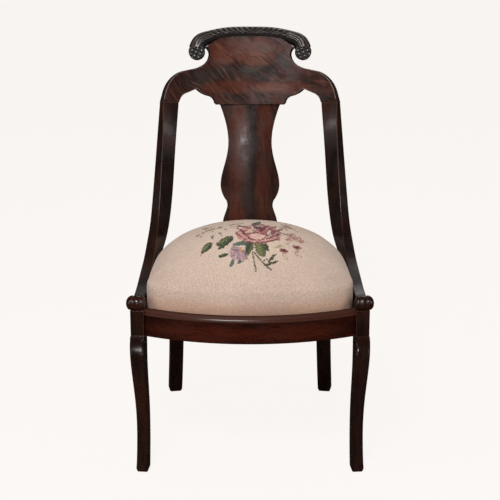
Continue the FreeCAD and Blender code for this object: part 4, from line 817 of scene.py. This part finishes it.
class CHAIR_OT_seat_layers(bpy.types.Operator):
    """Webbing, hessian, stuffing, calico and dust cover"""
    bl_idname = "chair.seat_layers"
    bl_label = "Seat layers"

    def execute(self, context):
        self.shape = SeatShape()
        self.webs()
        self.sheets()
        self.domes()
        return {"FINISHED"}

    def cloth(self, name, light, dark, pitch):
        """Woven cloth with a plain weave of a pitch, flecked and a little dirty."""
        made, tree, shader, place = new_material(name)
        split = node(tree, "ShaderNodeSeparateXYZ")
        link(tree, place, split.inputs[0])
        warp = math_node(tree, "SINE", math_node(tree, "MULTIPLY", split.outputs["X"], 2 * math.pi / pitch))
        weft = math_node(tree, "SINE", math_node(tree, "MULTIPLY", split.outputs["Y"], 2 * math.pi / pitch))
        weave = math_node(tree, "MULTIPLY", warp, weft)
        fleck = noise_node(tree, place, 240.0, 4.0, 0.6)
        cloud = noise_node(tree, place, 18.0, 3.0, 0.6)
        mix = math_node(tree, "ADD", math_node(tree, "MULTIPLY", weave, 0.25), fleck)
        tone = blend_node(tree, step_node(tree, mix, 0.25, 0.8), dark, light)
        tone = blend_node(tree, step_node(tree, cloud, 0.45, 0.8, 0.0, 0.35), tone, dark)
        link(tree, tone, shader.inputs["Base Color"])
        shader.inputs["Roughness"].default_value = 0.9
        shader.inputs["Specular IOR Level"].default_value = 0.2
        link(tree, bump_node(tree, weave, 0.6, 0.0004), shader.inputs["Normal"])
        return made

    def webs(self):
        material = self.cloth("jute_web", (0.44, 0.33, 0.20), (0.20, 0.135, 0.075), 0.0026)
        for name, along in (("lengthwise_webbing", 1), ("crosswise_webbing", 0)):
            low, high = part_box(name)
            lows = sorted(set(round(v.co[1 - along], 5) for v in nodes[name].data.vertices))
            points, faces = [], []
            width = 0.050
            starts = [lows[k] for k in range(0, len(lows), 2)]
            for start in starts:
                mine = [v.co for v in nodes[name].data.vertices
                        if start - 1e-4 <= v.co[1 - along] <= start + width + 1e-3]
                a, b = min(c[along] for c in mine), max(c[along] for c in mine)
                rows, columns = 61, 9
                base = len(points)
                for skin in (0, 1):
                    for r in range(rows):
                        t = r / (rows - 1)
                        for c in range(columns):
                            w = c / (columns - 1)
                            edge = 0.0005 * math.sin(math.pi * w)
                            weave = 0.00012 * math.sin(t * 260) * math.cos(w * 20)
                            z = low.z + 0.00015 if skin == 0 else high.z - 0.0006 + edge + weave
                            place = [0, 0, z]
                            place[along] = a + (b - a) * t
                            place[1 - along] = start + width * w
                            points.append(place)
                size = rows * columns
                faces += [tuple(base + i for i in f)[::-1] for f in grid_faces(rows, columns)]
                faces += [tuple(base + size + i for i in f) for f in grid_faces(rows, columns)]
                rim = [c for c in range(columns)] + [r * columns + columns - 1 for r in range(1, rows)]
                rim += [(rows - 1) * columns + c for c in range(columns - 2, -1, -1)]
                rim += [r * columns for r in range(rows - 2, 0, -1)]
                for k in range(len(rim)):
                    i, j = rim[k], rim[(k + 1) % len(rim)]
                    faces.append((base + i, base + j, base + size + j, base + size + i))
            web = make_piece(name.replace("webbing", "webs"), points, faces, "seat", material)
            turn_outward(web.data)
            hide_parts(name)

    def sheets(self):
        for name, piece_name, slot, light, dark, pitch, inset in (
                ("hessian", "hessian_sheet", "hessian", (0.42, 0.30, 0.16), (0.16, 0.105, 0.05), 0.0030,
                 0.0110),
                ("dust_cover", "dust_sheet", "dust_cloth", (0.035, 0.034, 0.036), (0.012, 0.012, 0.013),
                 0.0016, 0.0203)):
            low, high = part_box(name)
            material = self.cloth(piece_name + "_cloth", light, dark, pitch)
            size = 72
            points = []
            for i in range(size + 1):
                for j in range(size + 1):
                    r, angle = square_to_round(-1 + 2 * i / size, -1 + 2 * j / size)
                    out = (self.shape.reach(angle, 0.345) - inset) * r
                    x = self.shape.middle.x + out * math.cos(angle)
                    y = self.shape.middle.y + out * math.sin(angle)
                    sag = 0.00018 * math.sin(x * 95 + 1.3 * math.sin(y * 40)) * (1 - r ** 4)
                    points.append((x, y, (low.z + high.z) / 2 + sag))
            sheet = make_piece(piece_name, points, grid_faces(size + 1, size + 1), "seat", material)
            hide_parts(name)

    def domes(self):
        hair = self.cloth("curled_hair", (0.10, 0.075, 0.055), (0.028, 0.020, 0.015), 0.0052)
        calico = self.cloth("calico_cloth", (0.66, 0.60, 0.50), (0.45, 0.40, 0.32), 0.0011)
        for name, piece_name, slot, material, inset, low in (
                ("stuffing", "hair_stuffing", "hair", hair, 0.0066, 0.3602),
                ("calico_undercover", "calico_layer", "calico", calico, 0.0050, 0.3402)):
            points, size = [], 80
            for i in range(size + 1):
                for j in range(size + 1):
                    a, b = -1 + 2 * i / size, -1 + 2 * j / size
                    r, angle = square_to_round(a, b)
                    points.append(self.dome_point(r, angle, inset, low))
            faces = grid_faces(size + 1, size + 1)
            if name == "stuffing":
                base = len(points)
                for i in range(size + 1):
                    for j in range(size + 1):
                        r, angle = square_to_round(-1 + 2 * i / size, -1 + 2 * j / size)
                        out = (self.shape.reach(angle, 0.345) - inset - 0.0004) * r
                        points.append((self.shape.middle.x + out * math.cos(angle),
                                       self.shape.middle.y + out * math.sin(angle), low))
                faces += [tuple(base + i for i in f)[::-1] for f in grid_faces(size + 1, size + 1)]
                rim = list(range(size + 1)) + [(i + 1) * (size + 1) - 1 for i in range(1, size + 1)]
                rim += [size * (size + 1) + j for j in range(size - 1, -1, -1)]
                rim += [i * (size + 1) for i in range(size - 1, 0, -1)]
                for k in range(len(rim)):
                    i, j = rim[k], rim[(k + 1) % len(rim)]
                    faces.append((i, j, base + j, base + i))
            piece = make_piece(piece_name, points, faces, "seat", material)
            if name == "stuffing":
                turn_outward(piece.data)
            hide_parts(name)

    def dome_point(self, r, angle, inset, low):
        """Point on the crown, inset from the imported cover; the last rows run down the sides."""
        edge = 0.80
        if r <= edge:
            return self.shape.crown(angle, 1 - r / edge, inset)
        z = 0.395 - (0.395 - low) * (r - edge) / (1 - edge)
        out = self.shape.reach(angle, max(z, 0.349)) - inset
        return (self.shape.middle.x + out * math.cos(angle), self.shape.middle.y + out * math.sin(angle), z)


def register():
    for group in GROUPS:
        bpy.utils.register_class(group)
    for operator in OPERATORS:
        bpy.utils.register_class(operator)
    bpy.utils.register_class(CHAIR_PT_side)
    bpy.types.Scene.chair_stage = bpy.props.PointerProperty(type=StageSetting)
    bpy.types.Scene.chair_wood = bpy.props.PointerProperty(type=WoodFinish)
    bpy.types.Scene.chair_carving = bpy.props.PointerProperty(type=Carving)
    bpy.types.Scene.chair_cover = bpy.props.PointerProperty(type=SeatCover)


def unregister():
    del bpy.types.Scene.chair_cover
    del bpy.types.Scene.chair_carving
    del bpy.types.Scene.chair_wood
    del bpy.types.Scene.chair_stage
    bpy.utils.unregister_class(CHAIR_PT_side)
    for operator in reversed(OPERATORS):
        bpy.utils.unregister_class(operator)
    for group in reversed(GROUPS):
        bpy.utils.unregister_class(group)


class CHAIR_OT_cover(bpy.types.Operator):
    """Needlepoint cover, pressed out by its stuffing and stitched in wool"""
    bl_idname = "chair.cover"
    bl_label = "Needlepoint cover"

    def execute(self, context):
        setting = context.scene.chair_cover
        self.shape = SeatShape()
        rounding = 2
        size = setting.stitch_rows // 2 ** rounding
        points = []
        for i in range(size + 1):
            for j in range(size + 1):
                r, angle = square_to_round(-1 + 2 * i / size, -1 + 2 * j / size)
                points.append(self.cover_point(r, angle))
        cover = make_piece("needlepoint_seat", points, grid_faces(size + 1, size + 1), "seat")
        self.press_out(cover, setting.puff)
        cover.modifiers.new("rounder", "SUBSURF").levels = rounding
        context.view_layer.update()
        graph = context.evaluated_depsgraph_get()
        fine = bpy.data.meshes.new_from_object(cover.evaluated_get(graph))
        cover.modifiers.clear()
        cover.data = fine
        cover.data.materials.clear()
        cover.data.polygons.foreach_set("use_smooth", [True] * len(fine.polygons))
        stitch(cover, setting)
        cover.data.materials.append(needlepoint_material())
        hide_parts("needlepoint_cover")
        return {"FINISHED"}

    def cover_point(self, r, angle):
        """Point of the cover: crown, upright side, then the hem turned under the frame."""
        hem, side = 0.94, 0.75
        if r <= side:
            return self.shape.crown(angle, 1 - r / side, 0.0004)
        if r > hem:
            out = self.shape.reach(angle, 0.348) - 0.0006 - 0.020 * (r - hem) / (1 - hem)
            z = 0.3352
        else:
            z = 0.395 - (0.395 - 0.3358) * (r - side) / (hem - side)
            out = self.shape.reach(angle, max(z, 0.348)) - 0.0004
        return (self.shape.middle.x + out * math.cos(angle), self.shape.middle.y + out * math.sin(angle), z)

    def press_out(self, cover, limit):
        """Cloth simulation of the crown under its stuffing, held at the frame."""
        start = np.array([v.co for v in cover.data.vertices])
        held = cover.vertex_groups.new(name="held")
        for k, place in enumerate(start):
            grip = 1.0 - float(ease(0.349, 0.368, place[2]))
            held.add([k], grip, "REPLACE")
        cloth = cover.modifiers.new("cloth", "CLOTH")
        setting = cloth.settings
        setting.use_pressure = True
        setting.uniform_pressure_force = 4.0
        setting.vertex_group_mass = "held"
        setting.pin_stiffness = 1.0
        setting.tension_stiffness = 15
        setting.compression_stiffness = 15
        setting.bending_stiffness = 2.0
        setting.effector_weights.gravity = 0
        scene = bpy.context.scene
        for count in range(1, 21):
            scene.frame_set(count)
        graph = bpy.context.evaluated_depsgraph_get()
        moved = cover.evaluated_get(graph).to_mesh()
        end = np.array([v.co for v in moved.vertices])
        cover.evaluated_get(graph).to_mesh_clear()
        cover.modifiers.clear()
        cover.vertex_groups.clear()
        scene.frame_set(1)
        shift = end - start
        outward = start - np.array([self.shape.middle.x, self.shape.middle.y, 0.32])
        outward /= np.linalg.norm(outward, axis=1, keepdims=True)
        inward = np.minimum(0.0, np.sum(shift * outward, axis=1, keepdims=True))
        shift -= inward * outward
        length = np.linalg.norm(shift, axis=1, keepdims=True)
        shift *= np.minimum(1.0, limit / np.maximum(length, 1e-9))
        rest = start + shift
        cover.data.vertices.foreach_set("co", rest.astype(np.float32).ravel())
        cover.data.update()


# Spray of flowers. Shapes are given on the picture plane of the camera, in 500ths of its width.

def blot(u, v, cu, cv, wide, high, turn=0.0, wobble=0.0, count=5, phase=0.0):
    """Below 1 inside a leaf or petal shaped blot."""
    a = math.radians(turn)
    x = (u - cu) * math.cos(a) + (v - cv) * math.sin(a)
    y = -(u - cu) * math.sin(a) + (v - cv) * math.cos(a)
    angle = np.arctan2(y / high, x / wide)
    edge = 1.0 + wobble * np.cos(count * angle + phase)
    return np.hypot(x / wide, y / high) / edge


def leaf_shape(u, v, u0, v0, u1, v1, wide):
    """Pointed leaf from its stalk to its tip: (inside below 1, distance from the vein, share along)."""
    length = math.hypot(u1 - u0, v1 - v0)
    ax, ay = (u1 - u0) / length, (v1 - v0) / length
    t = ((u - u0) * ax + (v - v0) * ay) / length
    off = -(u - u0) * ay + (v - v0) * ax
    swell = wide / 2 * np.sqrt(np.clip(np.sin(math.pi * np.clip(t, 0, 1) ** 0.85), 0, 1))
    inside = np.where((t > 0) & (t < 1), np.abs(off) / np.maximum(swell, 1e-3), 9.0)
    return inside, off, t


def stroke(u, v, points, wide):
    """Below 1 near a line through points."""
    best = np.full_like(u, 1e9)
    for (u0, v0), (u1, v1) in zip(points, points[1:]):
        du, dv = u1 - u0, v1 - v0
        t = np.clip(((u - u0) * du + (v - v0) * dv) / max(1e-6, du * du + dv * dv), 0, 1)
        best = np.minimum(best, np.hypot(u - u0 - t * du, v - v0 - t * dv))
    return best / wide


MAROON = (0.080, 0.012, 0.020)
WINE = (0.165, 0.034, 0.042)
ROSE = (0.335, 0.110, 0.108)
PINK = (0.470, 0.215, 0.190)
PALE = (0.660, 0.400, 0.330)
MAUVE = (0.215, 0.120, 0.150)
LILAC = (0.385, 0.245, 0.265)
GREY_LILAC = (0.470, 0.330, 0.320)
YOLK = (0.480, 0.270, 0.110)
DARK_GREEN = (0.036, 0.048, 0.026)
GREEN = (0.095, 0.110, 0.048)
LIGHT_GREEN = (0.225, 0.220, 0.085)
TEAL = (0.095, 0.130, 0.115)
OLIVE = (0.160, 0.125, 0.065)
BROWN = (0.190, 0.110, 0.065)
RUST = (0.300, 0.120, 0.085)


class Wool:
    """Paints the stitches one shape over another."""

    def __init__(self, u, v, colour):
        self.u, self.v, self.colour = u, v, colour

    def lay(self, inside, colour, share=1.0):
        mask = (inside < 1.0)[:, None] * share
        self.colour = self.colour * (1 - mask) + np.array(colour)[None, :] * mask

    def leaf(self, a, b, wide, dark, light):
        """A leaf from its stalk to its tip: dark all round, light along one side of the vein."""
        inside, off, t = leaf_shape(self.u, self.v, *a, *b, wide)
        self.lay(inside, dark)
        lit = np.where((off > -0.1) & (inside < 0.74) & (t > 0.12) & (t < 0.86), 0.5, 9.0)
        self.lay(lit, light, 0.8)
        ribs = ((t * 6 + np.abs(off) / wide * 2.4) % 1.0) < 0.34
        self.lay(np.where((inside < 0.86) & ribs, 0.5, 9.0), dark, 0.75)

    def blot(self, *shape, colour, share=1.0):
        self.lay(blot(self.u, self.v, *shape), colour, share)

    def line(self, points, wide, colour, share=1.0):
        self.lay(stroke(self.u, self.v, points, wide), colour, share)

    def rays(self, u, v, size, count, turn, wide, colour, flat=0.62):
        """Short strokes round a middle, as in a small star flower."""
        for k in range(count):
            a = 2 * math.pi * k / count + turn
            self.line([(u + 0.2 * size * math.cos(a), v + 0.2 * size * math.sin(a) * flat),
                       (u + size * math.cos(a), v + size * math.sin(a) * flat)], wide, colour, 0.9)


def rose_spray(wool):
    """The bouquet: sprigs and stems first, then leaves, the rose and the small flowers."""
    for points in ([(252.7, 252), (254.0, 261), (256, 271)], [(254.7, 252.5), (262, 262), (271, 269.8)]):
        wool.line(points, 0.75, DARK_GREEN, 0.85)
    for points in ([(196, 236.5), (204, 232.5), (212, 229)], [(203, 229), (212, 227.5)],
                   [(212, 229), (222, 227.5)], [(206, 231.5), (203, 234)], [(210, 230), (213, 232)],
                   [(229, 225.2), (237, 224), (244, 223.4)], [(231, 227), (239, 226)]):
        wool.line(points, 0.42, OLIVE, 0.75)
    for u, v in ((198, 235.6), (201, 236.8), (206, 229.6), (213, 229.4), (219.5, 227.2), (226, 229.5)):
        wool.blot(u, v, 1.3, 0.7, -20, 0.2, 3, colour=OLIVE, share=0.8)
    for u, v, turn in ((212.3, 237.2, 80), (220.4, 233.9, 60), (223.6, 246.6, -70)):
        wool.blot(u, v, 2.0, 1.2, turn, 0.15, 3, colour=DARK_GREEN, share=0.85)
    wool.leaf((212.0, 242.6), (201.0, 253.2), 6.0, DARK_GREEN, LIGHT_GREEN)
    wool.line([(202, 253.5), (200.5, 256.2)], 0.6, RUST, 0.9)
    wool.leaf((233.5, 237.2), (216.0, 245.5), 7.2, DARK_GREEN, LIGHT_GREEN)
    wool.leaf((232.0, 238.5), (218.0, 249.5), 4.2, DARK_GREEN, GREEN)
    wool.leaf((228.0, 253.8), (218.4, 257.0), 3.4, DARK_GREEN, GREEN)
    wool.leaf((233.6, 259.0), (230.6, 267.2), 4.0, TEAL, GREEN)
    wool.leaf((243.5, 258.5), (237.0, 263.5), 3.6, TEAL, GREEN)
    wool.leaf((254, 240.5), (232.5, 245.0), 4.4, TEAL, GREEN)
    wool.leaf((253, 242), (245.5, 256.5), 6.5, GREEN, DARK_GREEN)
    wool.leaf((250, 240), (246, 251), 5.0, DARK_GREEN, GREEN)
    wool.leaf((258, 239.5), (263.5, 257.0), 10.5, GREEN, LIGHT_GREEN)
    wool.leaf((262, 241.0), (268.5, 251.0), 5.5, DARK_GREEN, GREEN)
    wool.leaf((251.5, 225.2), (261.0, 222.6), 3.4, DARK_GREEN, TEAL)
    wool.leaf((268.2, 262.2), (276.4, 253.2), 2.9, DARK_GREEN, GREEN)
    wool.leaf((264.0, 265.6), (279.0, 261.0), 2.5, DARK_GREEN, GREEN)
    wool.line([(262, 262), (267, 259), (269.5, 262.5)], 0.5, DARK_GREEN, 0.8)
    wool.blot(278.8, 246.8, 4.0, 1.3, -12, 0.2, 4, colour=LIGHT_GREEN, share=0.7)
    wool.blot(287.5, 243.8, 2.2, 0.9, -25, 0.2, 4, colour=LIGHT_GREEN, share=0.6)

    # Rose: ragged outer petals, a pale open petal in front and a dark heart behind it
    for k, (u, v, wide, high, turn, tone) in enumerate((
            (240.5, 233.5, 5.0, 3.6, -30, ROSE), (243.5, 237.5, 6.4, 3.0, 20, PINK),
            (246.0, 229.0, 6.8, 2.8, -22, ROSE), (252.5, 240.6, 7.0, 2.4, 10, PINK),
            (266.0, 240.8, 7.4, 2.4, -8, PINK), (275.0, 237.5, 5.6, 2.6, 18, ROSE),
            (277.0, 232.5, 4.2, 2.8, 0, WINE), (271.5, 228.5, 5.8, 2.4, 24, ROSE),
            (261.0, 226.4, 7.6, 1.9, 0, WINE))):
        wool.blot(u, v, wide, high, turn, 0.14, 5, k, colour=tone, share=0.92)
        wool.blot(u - 0.5, v - 0.4, wide * 0.6, high * 0.5, turn, 0.2, 4, k, colour=PALE, share=0.55)
    for points in ([(236, 232), (240, 236), (246, 239.6)], [(237, 228), (243, 231), (248, 236)],
                   [(238, 225.8), (246, 227.2), (251, 230.5)], [(262, 242.4), (270, 241.2), (278, 239.4)],
                   [(281, 235), (274, 236), (267, 239)], [(280, 230.5), (273, 232.5), (267, 236)],
                   [(276, 227), (270, 229), (265, 232)], [(247, 241.8), (253, 243), (259, 242.4)],
                   [(268, 226), (272, 230), (270, 235)], [(241, 230.5), (245, 234.5), (250, 238.5)]):
        wool.line(points, 0.62, WINE, 0.90)
    wool.blot(257.0, 235.0, 10.2, 4.6, 2, 0.08, 5, 0.6, colour=PINK)
    wool.blot(257.8, 236.3, 7.8, 2.9, 3, 0.08, 4, colour=PALE)
    wool.blot(251.0, 231.5, 4.2, 2.4, 30, 0.1, 4, colour=PALE, share=0.7)
    wool.blot(264.5, 231.8, 4.6, 2.4, -26, 0.1, 4, colour=ROSE)
    wool.blot(259.5, 229.0, 5.0, 2.2, 0, 0.18, 5, colour=MAROON)
    wool.blot(258.0, 229.8, 2.6, 0.8, -10, colour=PINK, share=0.8)
    wool.blot(262.4, 227.6, 1.6, 0.6, 15, colour=ROSE)
    for points in ([(247.5, 234), (252.5, 232.8), (258, 232.8), (264, 234)],
                   [(248, 237), (250, 239), (256, 239.8)], [(266.5, 233.5), (266, 237), (262, 239.4)],
                   [(254, 227.6), (253, 230.5), (255, 232.5)]):
        wool.line(points, 0.52, MAROON, 0.85)

    # Lilac flower below the rose, seen from the side
    for a, long, tone in ((150, 14.5, MAUVE), (128, 14.5, LILAC), (108, 13.5, MAUVE), (88, 13.5, LILAC),
                          (66, 11.5, MAUVE), (172, 13.5, LILAC), (-165, 12.0, MAUVE)):
        b = math.radians(a)
        tip = (242 + long * math.cos(b), 250.5 + long * 0.86 * math.sin(b))
        inside, off, t = leaf_shape(wool.u, wool.v, 242.0, 250.0, *tip, 5.2)
        wool.lay(inside, tone, 0.85)
        wool.lay(np.where((inside < 0.6) & (off > 0), 0.5, 9.0), GREY_LILAC, 0.8)
        wool.line([(243, 250.5), ((242 + tip[0]) / 2, (250 + tip[1]) / 2)], 0.35, MAUVE, 0.6)
    wool.blot(241.2, 250.0, 2.2, 2.0, 0, 0.2, 5, colour=YOLK, share=0.9)
    wool.blot(242.2, 248.6, 1.2, 0.8, 0, colour=PALE)

    # Brown sprig, rusty star flowers and hanging buds on the right
    wool.rays(285.2, 227.2, 6.0, 7, 0.4, 0.42, BROWN)
    wool.rays(280.0, 229.5, 3.4, 5, 0.9, 0.36, OLIVE)
    for u, v, size, turn in ((291.5, 235.5, 4.6, 0.2), (296.5, 239.0, 4.8, 0.7), (301.0, 241.5, 3.6, 0.1),
                             (289.0, 239.5, 3.0, 0.5)):
        wool.rays(u, v, size, 7, turn, 0.42, RUST)
    wool.line([(278, 233), (286, 234.5), (294, 237.5)], 0.4, BROWN, 0.8)
    wool.line([(284, 226), (292, 228), (298, 232)], 0.4, BROWN, 0.7)
    for u, v in ((283.7, 250.6), (296.8, 247.4)):
        wool.blot(u, v, 4.2, 1.9, 12, 0.16, 5, colour=WINE, share=0.9)
        wool.blot(u, v - 0.4, 2.2, 0.9, 12, colour=MAROON, share=0.9)
        for across, down in ((-1.6, 7.5), (1.2, 9.0), (4.6, 10.4)):
            thread = [(u + across * 0.2, v + 1.5), (u + across * 0.7, v + down * 0.55),
                      (u + across, v + down)]
            wool.line(thread, 0.34, RUST, 0.75)


def stitch(cover, setting):
    """Gives every stitch its wool, darkened as painted shade low down and on the upright sides: one face, one
    colour.
    """
    mesh = cover.data
    count = len(mesh.polygons)
    centre = np.zeros(count * 3)
    mesh.polygons.foreach_get("center", centre)
    centre = centre.reshape(-1, 3)
    normal = np.zeros(count * 3)
    mesh.polygons.foreach_get("normal", normal)
    normal = normal.reshape(-1, 3)
    ahead = np.array([0.0, math.cos(EYE_DIP), -math.sin(EYE_DIP)])
    above = np.array([0.0, math.sin(EYE_DIP), math.cos(EYE_DIP)])
    away = centre - np.array([0.0, -EYE_BACK, EYE_HEIGHT])
    scale = PICTURE * LENS / SENSOR / (away @ ahead)
    u = PICTURE / 2 + scale * away[:, 0]
    v = PICTURE / 2 - scale * (away @ above)
    facing = -np.sum(away * normal, axis=1) / np.linalg.norm(away, axis=1)
    base = np.tile(np.array(tuple(setting.ground)), (count, 1))
    rng = np.random.default_rng(7)
    fleck = rng.normal(0, 1, count)[:, None]
    base *= 1 + 0.055 * fleck
    slant = (centre[:, 0] + centre[:, 1] - centre[:, 2]) / 0.0058
    base *= 1 + 0.030 * np.sin(2 * math.pi * slant)[:, None]
    cloud = np.array([noise.noise(Vector(c) * 14.0) for c in centre])[:, None]
    base *= 1 + 0.07 * cloud
    # Painted shade: the ground darker and warmer towards the rail, and darker on the upright sides of the
    # cover
    low = (1 - ease(0.352, 0.392, centre[:, 2]))[:, None]
    base = base * (1 - low * np.array([0.11, 0.26, 0.34])[None, :])
    upright = (1 - ease(0.385, 0.470, centre[:, 2]))[:, None]
    base = base * (1 - upright * np.array([0.21, 0.22, 0.21])[None, :])
    shake = rng.normal(0, 0.30, (2, count))
    wool = Wool(u + shake[0], v + shake[1] * 0.7, base.copy())
    rose_spray(wool)
    shown = ((facing > 0.03) & (centre[:, 2] > 0.38))[:, None]
    worn = 1 + 0.13 * rng.normal(0, 1, count)[:, None]
    drawn = np.abs(wool.colour - base).sum(1)[:, None] > 0.01
    colour = np.where(shown, wool.colour * np.where(drawn, worn, 1), base)
    colour = np.clip(colour, 0, 1)
    layer = mesh.color_attributes.new("wool", "FLOAT_COLOR", "CORNER")
    loops = np.zeros(count, int)
    mesh.polygons.foreach_get("loop_total", loops)
    rgba = np.concatenate([colour, np.ones((count, 1))], axis=1)
    layer.data.foreach_set("color", np.repeat(rgba, loops, axis=0).astype(np.float32).ravel())


def needlepoint_material():
    """Wool stitches, slanting, over canvas."""
    made, tree, shader, place = new_material("needlepoint_wool")
    wool = node(tree, "ShaderNodeVertexColor", layer_name="wool").outputs["Color"]
    slant = stretch_node(tree, place, (1, 1, 1), (0, 0, 45))
    fibre = noise_node(tree, stretch_node(tree, slant, (1, 0.35, 1)), 900.0, 3.0, 0.6)
    knots = noise_node(tree, place, 430.0, 2.0, 0.5)
    shade = math_node(tree, "ADD", step_node(tree, knots, 0.3, 0.7, -0.10, 0.10),
                      step_node(tree, fibre, 0.3, 0.7, 0.93, 1.05))
    tinted = node(tree, "ShaderNodeVectorMath", operation="SCALE")
    link(tree, wool, tinted.inputs[0])
    link(tree, shade, tinted.inputs["Scale"])
    link(tree, tinted.outputs[0], shader.inputs["Base Color"])
    shader.inputs["Roughness"].default_value = 0.88
    shader.inputs["Specular IOR Level"].default_value = 0.22
    shader.inputs["Sheen Weight"].default_value = 0.12
    shader.inputs["Sheen Roughness"].default_value = 0.5
    cell = node(tree, "ShaderNodeTexVoronoi", feature="F1")
    cell.inputs["Scale"].default_value = 560.0
    link(tree, stretch_node(tree, slant, (1, 0.72, 1)), cell.inputs["Vector"])
    height = math_node(tree, "ADD", math_node(tree, "MULTIPLY", cell.outputs["Distance"], -1.0),
                       math_node(tree, "MULTIPLY", fibre, 0.4))
    link(tree, bump_node(tree, height, 0.75, 0.0008), shader.inputs["Normal"])
    return made


class CHAIR_PT_side(bpy.types.Panel):
    """Shows the chair's settings and the buttons that build it"""
    bl_idname = "CHAIR_PT_side"
    bl_label = "Side chair"
    bl_space_type = "VIEW_3D"
    bl_region_type = "UI"
    bl_category = "Side chair"

    def draw(self, context):
        for key in ("chair_stage", "chair_wood", "chair_carving", "chair_cover"):
            box = self.layout.box()
            for name in getattr(context.scene, key).__annotations__:
                box.prop(getattr(context.scene, key), name)
        for operator in OPERATORS:
            self.layout.operator(operator.bl_idname)


GROUPS = (StageSetting, WoodFinish, Carving, SeatCover)
OPERATORS = (CHAIR_OT_stage, CHAIR_OT_polish, CHAIR_OT_veneer, CHAIR_OT_joinery, CHAIR_OT_roll,
             CHAIR_OT_seat_layers, CHAIR_OT_cover)


def main():
    register()
    bpy.ops.chair.stage()
    bpy.ops.chair.polish()
    bpy.ops.chair.veneer()
    bpy.ops.chair.joinery()
    bpy.ops.chair.roll()
    bpy.ops.chair.seat_layers()
    bpy.ops.chair.cover()


if __name__ == "__main__":
    main()
